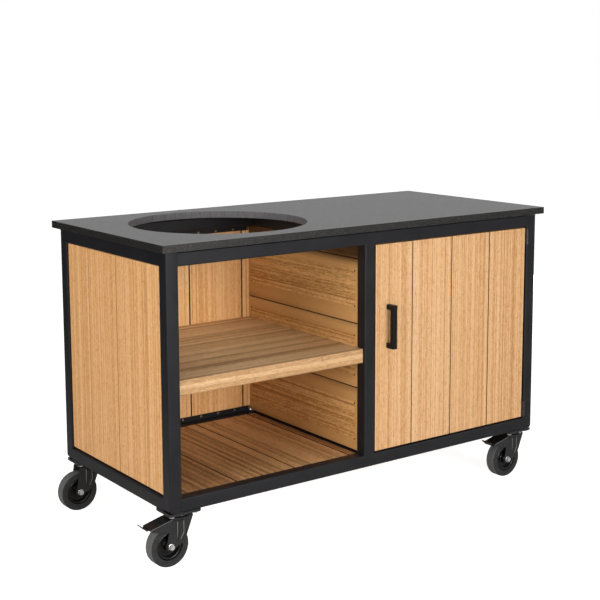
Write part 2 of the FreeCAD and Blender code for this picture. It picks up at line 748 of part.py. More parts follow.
def floor_boards():
    start = "tube + floor_margin"
    length = "%s - floor_margin - (%s)" % (INNER_REAR, start)
    rows = lay(start, MIDDLE_LEFT + " - floor_margin", "floor_board", "floor_gap")
    rows += lay(MIDDLE_RIGHT + " + floor_margin", INNER_RIGHT + " - floor_margin", "floor_board", "floor_gap")
    boards = []
    for i, (edge, width) in enumerate(rows):
        boards.append(box("floor_board_%d" % i, (edge, start, FLOOR_LOW), (width, length, "floor")))
    node("floor_boards", group("floor_boards", boards))


def shelf():
    """The thick shelf, which lies on pins and stands in front of the divider's edge."""
    width = "%s - tube - 2 * shelf_play" % MIDDLE_LEFT
    depth = "%s - shelf_front" % DIVIDER_REAR
    corners = [("0", "0"), (width, "0"), (width, depth), ("0", depth)]
    body = padded("shelf", "XY_Plane", corners, "shelf")
    dress(body, "Chamfer", "shelf_ease", lambda edge: runs_along(edge, 0))
    node("shelf", body, ("tube + shelf_play", "shelf_front", "shelf_level"))


def shelf_pins():
    pins = []
    length = "pin_depth + pin_reach"
    for row, y in (("front", "tube / 2"), ("rear", INNER_REAR + " + tube / 2")):
        pins.append(rod("pin_left_" + row, ("tube - pin_depth", y, PIN_LEVEL), "pin_radius", length, "x"))
    for row, y in (("front", "tube + pin_edge"), ("rear", DIVIDER_REAR + " - pin_edge")):
        spot = (DIVIDER_LEFT + " - pin_reach", y, PIN_LEVEL)
        pins.append(rod("pin_right_" + row, spot, "pin_radius", length, "x"))
    node("shelf_pins", group("shelf_pins", pins))


# Angle strips that carry the boards, and their screws

def angle(name, spot, extent_a, extent_b, offset_b=(0, 0, 0)):
    """Two legs of an angle strip; the second may start at an offset from the first."""
    start = ["%s + %s" % pair for pair in zip(spot, offset_b)]
    return fuse(name, [box(name + "_foot", spot, extent_a), box(name + "_leg", start, extent_b)])


def side_angles(rows):
    strips = []
    length = "%s - tube - 2 * panel_margin" % INNER_REAR
    foot = ("angle_leg", length, "angle_wall")
    leg = ("angle_wall", length, "angle_leg")
    right = "frame_width - %s - angle_leg" % SIDE_INNER
    inward = "angle_leg - angle_wall"
    drop = "0 - angle_leg + angle_wall"
    for side, x, leg_x in (("left", SIDE_INNER, "0"), ("right", right, inward)):
        low = (x, "tube + panel_margin", "tube")
        high = (x, "tube + panel_margin", TOP + " - angle_wall")
        strips.append(angle("side_angle_low_" + side, low, foot, leg, (leg_x, "0", "0")))
        strips.append(angle("side_angle_high_" + side, high, foot, leg, (leg_x, "0", drop)))
    places = side_screw_places(rows, "left") + side_screw_places(rows, "right")
    holes = screw_holes("side_pass", places, CLEAR)
    node("side_angles", cut("side_angles", group("side_strips", strips), holes))


def back_angles(rows):
    strips = []
    inward = "angle_leg - angle_wall"
    drop = "0 - angle_leg + angle_wall"
    for bay, start, end in (
        ("left", "tube + panel_margin", MIDDLE_LEFT),
        ("right", REAR_POST_RIGHT + " + panel_margin", INNER_RIGHT + " - panel_margin"),
    ):
        length = "%s - (%s)" % (end, start)
        foot = (length, "angle_leg", "angle_wall")
        leg = (length, "angle_wall", "angle_leg")
        low = (start, BACK_INNER + " - angle_leg", "tube")
        high = (start, BACK_INNER + " - angle_leg", TOP + " - angle_wall")
        strips.append(angle("back_angle_low_" + bay, low, foot, leg, ("0", inward, "0")))
        strips.append(angle("back_angle_high_" + bay, high, foot, leg, ("0", inward, drop)))
    holes = screw_holes("back_pass", back_screw_places(rows), CLEAR)
    node("back_angles", cut("back_angles", group("back_strips", strips), holes))


def divider_angle(rows):
    """Upright strip in the corner of the front middle post and the divider."""
    height = "%s - %s" % (PANEL_HIGH, PANEL_LOW)
    on_post = ("%s - %s" % (MIDDLE_RIGHT, DIVIDER_RIGHT), "angle_wall", height)
    on_boards = ("angle_wall", "angle_leg", height)
    strip = angle("divider_strip", (DIVIDER_RIGHT, "tube", PANEL_LOW), on_post, on_boards)
    holes = screw_holes("divider_pass", divider_screw_places(rows), CLEAR)
    node("divider_angle", cut("divider_angle", strip, holes))


def floor_bearers():
    """Angles on the inside of the front and rear rails, under the floor boards."""
    strips = []
    for bay, start, end in (
        ("left", "tube + floor_margin", MIDDLE_LEFT + " - floor_margin"),
        ("right", MIDDLE_RIGHT + " + floor_margin", INNER_RIGHT + " - floor_margin"),
    ):
        length = "%s - (%s)" % (end, start)
        shelf_leg = (length, "angle_leg", "angle_wall")
        rail_leg = (length, "angle_wall", "bearer_leg")
        drop = "angle_wall - bearer_leg"
        level = FLOOR_LOW + " - angle_wall"
        front = (start, "tube", level)
        rear = (start, INNER_REAR + " - angle_leg", level)
        strips.append(angle("bearer_front_" + bay, front, shelf_leg, rail_leg, ("0", "0", drop)))
        inward = "angle_leg - angle_wall"
        strips.append(angle("bearer_rear_" + bay, rear, shelf_leg, rail_leg, ("0", inward, drop)))
    node("floor_bearers", group("floor_bearers", strips))


def panel_screws(side_rows, back_rows, divider_rows):
    """Screws through the angle strips into the boards, with their heads inside the cabinet."""
    places = side_screw_places(side_rows, "left") + side_screw_places(side_rows, "right")
    places += back_screw_places(back_rows) + divider_screw_places(divider_rows)
    screws = [screw("panel_screw_%d" % i, place, PANEL_SCREW) for i, place in enumerate(places)]
    node("panel_screws", group("panel_screws", screws))


# Door

def door_screw_places(rows):
    """Screws from behind the battens into each door board."""
    places = []
    for edge, width in rows:
        for share in (1, 3):
            for level in BATTENS:
                x = "%s + (%s) * %d / 4" % (edge, width, share)
                places.append(((x, DOOR_BACK + " + batten", level + " + batten_height / 2"), "y", "-"))
    return places


DOOR_SCREW = "(batten + batten_bite)"


def door_boards():
    """Upright boards of the door, bored for the screws of battens, handle and hinges."""
    rows = lay(DOOR_LEFT, DOOR_RIGHT, "door_board", "door_joint", "door_first")
    height = "%s - %s" % (DOOR_HIGH, DOOR_LOW)
    boards = []
    for i, (edge, width) in enumerate(rows):
        boards.append(box("door_board_%d" % i, (edge, "door_recess", DOOR_LOW), (width, "door", height)))
    holes = screw_holes("door_hole", door_screw_places(rows), "screw_core", DOOR_SCREW)
    places = [((DOOR_RIGHT, y, z), "x", "-") for y, z in hinge_screw_places()]
    holes += screw_holes("door_edge_hole", places, "screw_core", "screw_bite")
    for i, level in enumerate(HANDLE_SCREWS):
        name = "door_handle_hole_%d" % i
        spot = (DOOR_LEFT + " + handle_inset", "0", level)
        holes.append(rod(name, spot, "handle_screw + running", "door_recess + 2 * door", "y"))
    node("door_boards", cut("door_boards", group("door_plain", boards), holes))
    return rows


def door_battens(rows):
    length = "%s - %s - 2 * batten_inset" % (DOOR_RIGHT, DOOR_LEFT)
    pieces = []
    for i, level in enumerate(BATTENS):
        spot = (DOOR_LEFT + " + batten_inset", DOOR_BACK, level)
        pieces.append(box("door_batten_%d" % i, spot, (length, "batten", "batten_height")))
    holes = screw_holes("batten_hole", door_screw_places(rows), CLEAR, DOOR_SCREW)
    node("door_battens", cut("door_battens", group("battens_plain", pieces), holes))


def door_screws(rows):
    screws = []
    for i, place in enumerate(door_screw_places(rows)):
        screws.append(screw("door_screw_%d" % i, place, DOOR_SCREW))
    node("door_screws", group("door_screws", screws))


def door_handle():
    """A D-shaped pull of square bar."""
    x = DOOR_LEFT + " + handle_inset - handle_bar / 2"
    y = "door_recess - handle_reach"
    z = HANDLE_MIDDLE + " - handle_length / 2"
    whole = box("handle_outside", (x, y, z), ("handle_bar", "handle_reach", "handle_length"))
    gap = box(
        "handle_inside",
        (x + " - handle_bar", y + " + handle_bar", z + " + handle_bar"),
        ("3 * handle_bar", "handle_reach", "handle_length - 2 * handle_bar"),
    )
    tools = [gap]
    for i, level in enumerate(HANDLE_SCREWS):
        spot = (x + " + handle_bar / 2", "door_recess - handle_thread", level)
        tools.append(rod("handle_thread_%d" % i, spot, "handle_screw + running", "2 * handle_thread", "y"))
    node("door_handle", cut("door_handle", whole, tools))


def handle_screws():
    screws = []
    for i, level in enumerate(HANDLE_SCREWS):
        name = "handle_screw_%d" % i
        x = DOOR_LEFT + " + handle_inset"
        length = "%s - door_recess + handle_thread" % DOOR_BACK
        shank = rod(name + "_shank", (x, "door_recess - handle_thread", level), "handle_screw", length, "y")
        head = rod(name + "_head", (x, DOOR_BACK, level), "handle_screw_head", "handle_screw_cap", "y")
        screws.append(fuse(name, [shank, head]))
    node("handle_screws", group("handle_screws", screws))


def countersunk(name, spot, forward):
    """A cone whose wide end is flush with a hinge leaf, along +X or -X."""
    cone = doc.addObject("Part::Cone", name)
    bind(cone, {"Radius1": "screw_head", "Radius2": "screw_radius", "Height": "hinge_leaf"})
    turn = FreeCAD.Rotation(FreeCAD.Vector(0, 1, 0), 90 if forward else -90)
    cone.Placement = FreeCAD.Placement(FreeCAD.Vector(), turn)
    return move(cone, spot)


def hinge_leaf(name, level, moving):
    """One leaf with its knuckles: the lower and upper thirds stay, the middle third moves."""
    x = DOOR_RIGHT if moving else INNER_RIGHT + " - hinge_leaf"
    length = "%s + %s - leaf_margin" % (KNUCKLE, DOOR_BACK)
    plate = box(name + "_plate", (x, HINGE_Y, level), ("hinge_leaf", length, "hinge_height"))
    outer = [level, level + " + hinge_height * 2 / 3"]
    middle = [level + " + hinge_height / 3"]
    own, other = (middle, outer) if moving else (outer, middle)
    play = "side_play" if moving else "0"
    knuckles = [plate]
    for i, start in enumerate(own):
        spot = (HINGE_X, HINGE_Y, "%s + %s" % (start, play))
        knuckles.append(rod("%s_knuckle_%d" % (name, i), spot, KNUCKLE, "hinge_height / 3 - 2 * " + play))
    low_end = level + " - hinge_height / 2"
    room = [rod(name + "_bore", (HINGE_X, HINGE_Y, low_end), "hinge_pin + running", "2 * hinge_height")]
    for i, start in enumerate(other):
        spot = (HINGE_X, HINGE_Y, "%s - %s" % (start, play))
        height = "hinge_height / 3 + 2 * " + play
        room.append(rod("%s_room_%d" % (name, i), spot, KNUCKLE + " + side_play", height))
    return cut(name, fuse(name + "_whole", knuckles), room)


def hinge_screw_places():
    """Depth and level of the screws of both hinges, the same in either leaf."""
    y = "door_recess + door / 2"
    return [(y, "%s + hinge_height * %d / 4" % (level, i)) for _, level in HINGES for i in (1, 3)]


def hinge_screws(name, moving):
    """Screws whose countersunk heads lie flush in a leaf."""
    face = DOOR_RIGHT + " + hinge_leaf" if moving else INNER_RIGHT + " - hinge_leaf"
    seat, way = (DOOR_RIGHT, "-") if moving else (INNER_RIGHT, "+")
    screws = []
    for i, (y, z) in enumerate(hinge_screw_places()):
        head = countersunk("%s_head_%d" % (name, i), (face, y, z), not moving)
        place = ((seat, y, z), "x", way)
        shank = stretch("%s_shank_%d" % (name, i), place, "screw_radius", "0", "screw_bite")
        screws.append(fuse("%s_%d" % (name, i), [head, shank]))
    node(name, group(name, screws))


def hinges():
    """Butt hinges at the door's right edge, with the pin just in front of the frame."""
    for moving in (False, True):
        name = "hinge_door_leaves" if moving else "hinge_frame_leaves"
        face = DOOR_RIGHT + " + hinge_leaf" if moving else INNER_RIGHT + " - hinge_leaf"
        leaves = [hinge_leaf("%s_%s" % (name, row), level, moving) for row, level in HINGES]
        sinks = []
        for i, (y, z) in enumerate(hinge_screw_places()):
            sinks.append(countersunk("%s_sink_%d" % (name, i), (face, y, z), not moving))
        node(name, cut(name, group(name + "_plain", leaves), sinks))
    hinge_screws("hinge_frame_screws", False)
    hinge_screws("hinge_door_screws", True)
    pins = []
    for row, level in HINGES:
        pin = rod("hinge_pin_bar_" + row, (HINGE_X, HINGE_Y, level), "hinge_pin", "hinge_height")
        top = (HINGE_X, HINGE_Y, level + " + hinge_height")
        head = rod("hinge_pin_head_" + row, top, "hinge_pin + hinge_pin_lip", "hinge_pin_cap")
        pins.append(fuse("hinge_pin_" + row, [pin, head]))
    node("hinge_pins", group("hinge_pins", pins))


def door_catch():
    """Magnetic catch on the front middle post, and its plate on the door."""
    y = DOOR_BACK + " + strike + side_play"
    low = DOOR_HIGH + " - catch_drop - catch_height / 2"
    housing = box("catch_housing", (MIDDLE_RIGHT, y, low), ("catch_width", "catch_depth", "catch_height"))
    spot = (MIDDLE_RIGHT + " + catch_side", y, low + " + catch_end")
    extent = ("catch_width - 2 * catch_side", "catch_depth - catch_back", "catch_height - 2 * catch_end")
    room = box("catch_room", spot, extent)
    magnet = box("catch_magnet", spot, extent)
    node("door_catch", group("door_catch", [cut("catch_hollow", housing, [room]), magnet]))
    start = DOOR_LEFT + " + strike_margin"
    width = "%s + catch_width - (%s)" % (MIDDLE_RIGHT, start)
    plate = box("strike_plate", ("0", "0", "0"), (width, "strike", "catch_height - 2 * catch_end"))
    node("strike_plate", plate, (start, DOOR_BACK, low + " + catch_end"))


# Casters: x is measured from the swivel axis and z from the frame's underside

HALF_GAP = "(tyre_width / 2 + fork_side)"
CHEEK_OUT = "(tyre_width / 2 + fork_side + fork)"
PEDAL_HALF = "(%s + side_play + pedal)" % CHEEK_OUT
AXLE_LEVEL = "(0 - %s - wheel_room - wheel_radius)" % CROWN_UNDER
AXLE_HEAD = "axle_radius + axle_lip"
FORK_END = "(axle_radius + fork_end)"
RIM_OUT = "(wheel_radius - tyre)"
EYE = "(pedal_pin + pedal_eye)"
PEDAL_PIN = ("(0 - pedal_pin_back)", "(0 - %s - pedal_eye_gap - %s)" % (CROWN_UNDER, EYE))
PEDAL_TOP = "(0 - %s - pedal_drop)" % CROWN_UNDER


def caster_fixed_parts():
    """Top plates with their pressed races, ball rings, kingpins and bolts."""
    plates = []
    rings = []
    kingpins = []
    for name, x, y, _ in CASTERS:
        corners = [("0", "0"), ("plate_length", "0"), ("plate_length", "plate_width"), ("0", "plate_width")]
        body = padded("plate_" + name, "XY_Plane", corners, "plate")
        dress(body, "Fillet", "plate_corner", lambda edge: runs_along(edge, 2))
        move(body, (x + " - plate_length / 2", y + " - plate_width / 2", "0 - plate"))
        race = rod("race_" + name, (x, y, "0 - plate - race"), "race_bore + race_wall", "race + plate / 2")
        race_bore = rod("race_bore_" + name, (x, y, "0 - plate - 2 * race"), "race_bore", "2 * race")
        cup = cut("cup_" + name, race, [race_bore])
        holes = [rod("plate_eye_" + name, (x, y, "0 - 2 * plate"), "kingpin", "3 * plate")]
        plates.append(cut("caster_plate_" + name, fuse("plate_and_race_" + name, [body, cup]), holes))
        ring = rod("ring_" + name, (x, y, "0 - plate - race - ring"), "race_bore + ring_wall", "ring")
        ring_bore = rod("ring_bore_" + name, (x, y, "0 - plate - race - 2 * ring"), "race_bore", "4 * ring")
        rings.append(cut("caster_ring_" + name, ring, [ring_bore]))
        foot = "(%s + side_play + kingpin_cap)" % CROWN_UNDER
        pin = rod("kingpin_bar_" + name, (x, y, "0 - " + foot), "kingpin", foot)
        head = hexagon("kingpin_head_" + name, (x, y, "0 - " + foot), "kingpin + kingpin_lip", "kingpin_cap")
        kingpins.append(fuse("kingpin_" + name, [pin, head]))
    holes = [bolt_holes("plate_bolts")]
    node("caster_plates", cut("caster_plates", group("caster_plates_plain", plates), holes))
    node("caster_rings", group("caster_rings", rings))
    node("caster_kingpins", group("caster_kingpins", kingpins))
    bolts = []
    for i, (x, y) in enumerate(bolt_places()):
        shank = rod("bolt_shank_%d" % i, (x, y, "0 - plate"), "bolt_radius", "plate + bolt_grip")
        seat = (x, y, "0 - plate - bolt_cap")
        head = hexagon("bolt_head_%d" % i, seat, "bolt_radius + bolt_lip", "bolt_cap")
        bolts.append(fuse("caster_bolt_%d" % i, [shank, head]))
    node("caster_bolts", group("caster_bolts", bolts))


def fork(name, braked):
    """Pressed fork: a round crown, a bridge and two cheeks that taper to the axle."""
    top = "0 - " + CROWN
    under = "0 - " + CROWN_UNDER
    crown = rod(name + "_crown", ("0", "0", under), "race_bore + ring_wall + crown_lip", "fork")
    spot = ("0 - fork_back", "0 - " + CHEEK_OUT, under)
    bridge = box(name + "_bridge", spot, ("fork_back + fork_front", "2 * " + CHEEK_OUT, "fork"))
    pieces = [crown, bridge]
    for side, way, start in (("near", "-", "0 - " + CHEEK_OUT), ("far", "+", HALF_GAP)):
        cheek = padded(name + "_cheek_" + side, "XZ_Plane", [
            ("0 - fork_back", top),
            ("fork_front", top),
            ("fork_knee", under + " - fork_knee_drop"),
            ("0", under + " - fork_heel_drop"),
            ("fork_foot - trail", AXLE_LEVEL + " - fork_foot_drop"),
            ("0 - %s - trail" % FORK_END, AXLE_LEVEL),
        ], "fork", middle=True)
        move(cheek, ("0", "0 %s (%s + fork / 2)" % (way, HALF_GAP), "0"))
        end = rod("%s_end_%s" % (name, side), ("0 - trail", start, AXLE_LEVEL), FORK_END, "fork", "y")
        pieces += [cheek, end]
    wide = "4 * " + CHEEK_OUT
    start = "0 - 2 * " + CHEEK_OUT
    holes = [
        rod(name + "_eye", ("0", "0", under + " - fork"), "kingpin + running", "3 * fork"),
        rod(name + "_axle_hole", ("0 - trail", start, AXLE_LEVEL), "axle_radius + running", wide, "y"),
    ]
    if braked:
        spot = (PEDAL_PIN[0], start, PEDAL_PIN[1])
        holes.append(rod(name + "_pedal_hole", spot, "pedal_pin + running", wide, "y"))
    return cut(name, fuse(name + "_whole", pieces), holes)


def wheel_core(name):
    """Rim, web and hub, turned about the axle."""
    half_hub = "(%s - side_play)" % HALF_GAP
    half_rim = "(tyre_width / 2 - rim_step)"
    right_side = [
        (RIM_OUT, half_rim),
        (RIM_OUT + " - rim", half_rim),
        (RIM_OUT + " - rim", "web / 2"),
        ("axle_radius + hub_wall", "web / 2"),
        ("axle_radius + hub_wall", half_hub),
        ("axle_radius + running", half_hub),
    ]
    left_side = [(radius, "0 - " + width) for radius, width in reversed(right_side)]
    return revolved(name, left_side + right_side)


def tyre(name):
    near_side = "0 - tyre_width / 2"
    far_side = "tyre_width / 2"
    body = revolved(name, [
        (RIM_OUT, near_side),
        ("wheel_radius", near_side),
        ("wheel_radius", far_side),
        (RIM_OUT, far_side),
    ])
    across = 2 * value("wheel_radius")
    dress(body, "Fillet", "tyre_round", lambda edge: near(edge.BoundBox.XLength, across))
    return body


def axle(name):
    """Axle bolt with its head at the back and a nut at the front."""
    front = "0 - %s - axle_cap - axle_end" % CHEEK_OUT
    length = "2 * %s + axle_cap + axle_end" % CHEEK_OUT
    bar = rod(name + "_bar", ("0", front, "0"), "axle_radius", length, "y")
    head = hexagon(name + "_head", ("0", CHEEK_OUT, "0"), AXLE_HEAD, "axle_cap", "y")
    seat = ("0", "0 - %s - axle_cap" % CHEEK_OUT, "0")
    nut = hexagon(name + "_nut_plain", seat, AXLE_HEAD, "axle_cap", "y")
    thread = rod(name + "_thread", ("0", front, "0"), "axle_radius", length, "y")
    return group(name, [fuse(name + "_bolt", [bar, head]), cut(name + "_nut", nut, [thread])])


def pedal(name):
    """Brake pedal: a sheet cover over the wheel with two cheeks, a shoe and a toe."""
    cover_start = "0 - " + PEDAL_START
    cover_end = "0 - " + PEDAL_END
    end_level = PEDAL_TOP + " - pedal_fall"
    cover = padded(name + "_cover", "XZ_Plane", [
        (cover_start, PEDAL_TOP),
        (cover_end, end_level),
        (cover_end, end_level + " - pedal_lip"),
        (cover_end + " + pedal", end_level + " - pedal_lip"),
        (cover_end + " + pedal", end_level + " - pedal"),
        (cover_start, PEDAL_TOP + " - pedal"),
    ], "2 * " + PEDAL_HALF, middle=True)
    pieces = [cover]
    for side, way, start in (("near", "-", "0 - " + PEDAL_HALF), ("far", "+", PEDAL_HALF + " - pedal")):
        cheek = padded(name + "_cheek_" + side, "XZ_Plane", [
            (cover_start, PEDAL_TOP),
            (cover_end, end_level),
            (cover_end, end_level + " - pedal_lip"),
            (cover_start + " - pedal_skirt_back", PEDAL_TOP + " - pedal_skirt"),
            (PEDAL_PIN[0] + " + " + EYE, PEDAL_PIN[1]),
            (PEDAL_PIN[0], PEDAL_PIN[1] + " + " + EYE),
        ], "pedal", middle=True)
        move(cheek, ("0", "0 %s (%s - pedal / 2)" % (way, PEDAL_HALF), "0"))
        eye = rod("%s_eye_%s" % (name, side), (PEDAL_PIN[0], start, PEDAL_PIN[1]), EYE, "pedal", "y")
        pieces += [cheek, eye]
    shoe = []
    for back in ("(shoe_back - shoe_length / 2)", "(shoe_back + shoe_length / 2)"):
        roof = "%s - pedal_fall * %s / pedal_cover - pedal / 2" % (PEDAL_TOP, back)
        foot = AXLE_LEVEL + " + wheel_radius + shoe_gap"
        shoe.append([("%s - %s" % (cover_start, back), level) for level in (roof, foot)])
    corners = shoe[0] + shoe[1][::-1]
    pieces.append(padded(name + "_shoe", "XZ_Plane", corners, "shoe_width", middle=True))
    flat_end = cover_end + " - toe_flat"
    toe_end = cover_end + " - toe_flat - toe_slope"
    pieces.append(padded(name + "_toe", "XZ_Plane", [
        (cover_end + " + pedal / 2", end_level),
        (flat_end, end_level),
        (toe_end, end_level + " + toe_rise"),
        (toe_end, end_level + " + toe_rise - pedal"),
        (flat_end, end_level + " - pedal"),
        (cover_end + " + pedal / 2", end_level + " - pedal"),
    ], "toe_width", middle=True))
    spot = (PEDAL_PIN[0], "0 - 2 * " + PEDAL_HALF, PEDAL_PIN[1])
    hole = rod(name + "_hole", spot, "pedal_pin + running", "4 * " + PEDAL_HALF, "y")
    return cut(name, fuse(name + "_whole", pieces), [hole])


def pedal_pin(name):
    """Pin through the fork and the pedal's cheeks, with a head at each end."""
    half = "(%s + side_play)" % PEDAL_HALF
    x, z = PEDAL_PIN
    bar = rod(name + "_bar", (x, "0 - " + half, z), "pedal_pin", "2 * " + half, "y")
    heads = []
    for side, start in (("near", "0 - %s - pedal_pin_cap" % half), ("far", half)):
        spot = (x, start, z)
        heads.append(rod("%s_%s" % (name, side), spot, "pedal_pin + pedal_pin_lip", "pedal_pin_cap", "y"))
    return fuse(name, [bar] + heads)


def casters():
    caster_fixed_parts()
    for corner, x, y, braked in CASTERS:
        swivel = (x, y, "0")
        hub = (x + " - trail", y, AXLE_LEVEL)
        node("fork_" + corner, fork("fork_" + corner, braked), swivel)
        node("wheel_core_" + corner, wheel_core("wheel_core_" + corner), hub)
        node("tyre_" + corner, tyre("tyre_" + corner), hub)
        node("axle_" + corner, axle("axle_" + corner), hub)
        if braked:
            node("pedal_" + corner, pedal("pedal_" + corner), swivel)
            node("pedal_pin_" + corner, pedal_pin("pedal_pin_" + corner), swivel)


frame()
corner_gussets()
worktop()
worktop_pads()
side_rows = side_boards()
back_rows = back_boards()
divider_rows = divider_boards()
floor_boards()
shelf()
shelf_pins()
side_angles(side_rows)
back_angles(back_rows)
divider_angle(divider_rows)
floor_bearers()
panel_screws(side_rows, back_rows, divider_rows)
door_rows = door_boards()
door_battens(door_rows)
door_screws(door_rows)
door_handle()
handle_screws()
hinges()
door_catch()
casters()
doc.recompute()

for thing in doc.Objects:
    if "Invalid" in thing.State or "Error" in thing.State:
        raise RuntimeError("%s did not compute: %s" % (thing.Name, thing.State))
for name, thing in nodes.items():
    if thing.Shape.isNull() or not thing.Shape.isValid() or not thing.Shape.Solids:
        raise RuntimeError("%s has no valid solid" % name)

os.makedirs("parts", exist_ok=True)
whole = FreeCAD.BoundBox()
for name, thing in nodes.items():
    thing.Shape.exportStep(os.path.join("parts", name + ".step"))
    whole.add(thing.Shape.optimalBoundingBox(False))
    print("%-24s %3d solids %12.0f mm3" % (name, len(thing.Shape.Solids), thing.Shape.Volume))
print("%d nodes, outline %s" % (len(nodes), whole))
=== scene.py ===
import math
import random

import bmesh
import bpy
from mathutils import Matrix, Vector


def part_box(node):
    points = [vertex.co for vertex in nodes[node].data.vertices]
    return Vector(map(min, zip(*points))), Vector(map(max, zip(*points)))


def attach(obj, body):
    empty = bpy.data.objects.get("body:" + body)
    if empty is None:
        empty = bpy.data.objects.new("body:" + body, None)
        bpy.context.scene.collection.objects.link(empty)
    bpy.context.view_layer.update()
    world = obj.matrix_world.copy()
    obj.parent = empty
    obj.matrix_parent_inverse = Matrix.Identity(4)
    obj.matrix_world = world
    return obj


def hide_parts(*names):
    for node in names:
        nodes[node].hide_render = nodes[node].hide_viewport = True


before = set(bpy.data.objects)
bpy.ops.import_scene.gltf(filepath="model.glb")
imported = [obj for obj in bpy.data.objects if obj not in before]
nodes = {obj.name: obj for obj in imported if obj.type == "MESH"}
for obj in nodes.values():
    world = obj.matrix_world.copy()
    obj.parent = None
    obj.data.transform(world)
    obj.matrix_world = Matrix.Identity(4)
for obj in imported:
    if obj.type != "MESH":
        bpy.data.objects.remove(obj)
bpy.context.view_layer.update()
scene = bpy.context.scene
print("frame loaded with", len(nodes), "nodes")


# The camera stands where the photograph was taken from
cameraValues = {
    "place": (-2.418, -3.2838, 1.4372),
    "azimuth": 35.373,  # degrees from +Y towards +X
    "tilt": 8.148,  # degrees below the horizon
    "roll": -0.318,
    "lens": 75.156,  # mm, on a 36 mm sensor
    "shift": (0.0348, -0.098),
}


def makeCamera(values):
    azimuth, tilt, roll = (math.radians(values[key]) for key in ("azimuth", "tilt", "roll"))
    ahead = Vector((math.sin(azimuth), math.cos(azimuth), 0))
    forward = ahead * math.cos(tilt) - Vector((0, 0, math.sin(tilt)))
    level = Vector((math.cos(azimuth), -math.sin(azimuth), 0))
    upright = level.cross(forward)
    right = level * math.cos(roll) + upright * math.sin(roll)
    up = upright * math.cos(roll) - level * math.sin(roll)
    data = bpy.data.cameras.new("photoCamera")
    data.lens = values["lens"]
    data.sensor_width = 36
    data.shift_x, data.shift_y = values["shift"]
    camera = bpy.data.objects.new("photoCamera", data)
    turn = Matrix((right, up, -forward)).transposed().to_4x4()
    camera.matrix_world = Matrix.Translation(Vector(values["place"])) @ turn
    scene.collection.objects.link(camera)
    scene.camera = camera


makeCamera(cameraValues)
print("camera placed")


# Shader helpers: a socket given as a value is linked, anything else is set
def addShader(tree, kind, sockets={}, **settings):
    shader = tree.nodes.new("ShaderNode" + kind)
    for key, value in settings.items():
        setattr(shader, key, value)
    for key, value in sockets.items():
        if isinstance(value, bpy.types.NodeSocket):
            tree.links.new(value, shader.inputs[key])
        else:
            shader.inputs[key].default_value = value
    return shader


def calc(tree, operation, *values):
    return addShader(tree, "Math", dict(enumerate(values)), operation=operation).outputs[0]


def remap(tree, value, low, high, newLow=0.0, newHigh=1.0, smooth=False):
    sockets = {"Value": value, "From Min": low, "From Max": high, "To Min": newLow, "To Max": newHigh}
    way = "SMOOTHSTEP" if smooth else "LINEAR"
    return addShader(tree, "MapRange", sockets, interpolation_type=way).outputs["Result"]


def noise(tree, vector, scale, detail=2.0, rough=0.5):
    sockets = {"Vector": vector, "Scale": scale, "Detail": detail, "Roughness": rough}
    return addShader(tree, "TexNoise", sockets).outputs[0]


def combine(tree, x, y, z):
    return addShader(tree, "CombineXYZ", {"X": x, "Y": y, "Z": z}).outputs[0]


def stretch(tree, vector, scale):
    return addShader(tree, "Mapping", {"Vector": vector, "Scale": scale}).outputs[0]


def distance(tree, vector):
    return addShader(tree, "VectorMath", {0: vector}, operation="LENGTH").outputs["Value"]


def facing(tree, axis):  # how far a face turns towards an axis
    normal = addShader(tree, "TexCoord").outputs["Normal"]
    return addShader(tree, "SeparateXYZ", {"Vector": normal}).outputs[axis]


def blendColours(tree, factor, first, second, way="MIX"):
    sockets = {0: factor, 6: first, 7: second}  # the mixer has other sockets for other kinds of data
    return addShader(tree, "Mix", sockets, data_type="RGBA", blend_type=way).outputs[2]


def channels(tree, source):
    return addShader(tree, "SeparateColor", {"Color": source.outputs["Color"]}).outputs


def drawChances(tree, cell):  # three random numbers for each cell
    return channels(tree, addShader(tree, "TexWhiteNoise", {"Vector": cell}, noise_dimensions="3D"))


def startMaterial(name):
    material = bpy.data.materials.new(name)
    material.use_nodes = True
    tree = material.node_tree
    tree.nodes.clear()
    place = addShader(tree, "TexCoord").outputs["Object"]
    return material, tree, place


def endMaterial(tree, colour, roughness, height, depth, metal=0.0, specular=0.5, tint=(1, 1, 1)):
    bump = addShader(tree, "Bump", {"Height": height, "Strength": 1.0, "Distance": depth})
    sockets = {
        "Base Color": colour,
        "Roughness": roughness,
        "Metallic": metal,
        "Specular IOR Level": specular,
        "Specular Tint": (*tint, 1),
        "Normal": bump.outputs["Normal"],
    }
    skin = addShader(tree, "BsdfPrincipled", sockets)
    addShader(tree, "OutputMaterial", {"Surface": skin.outputs["BSDF"]})


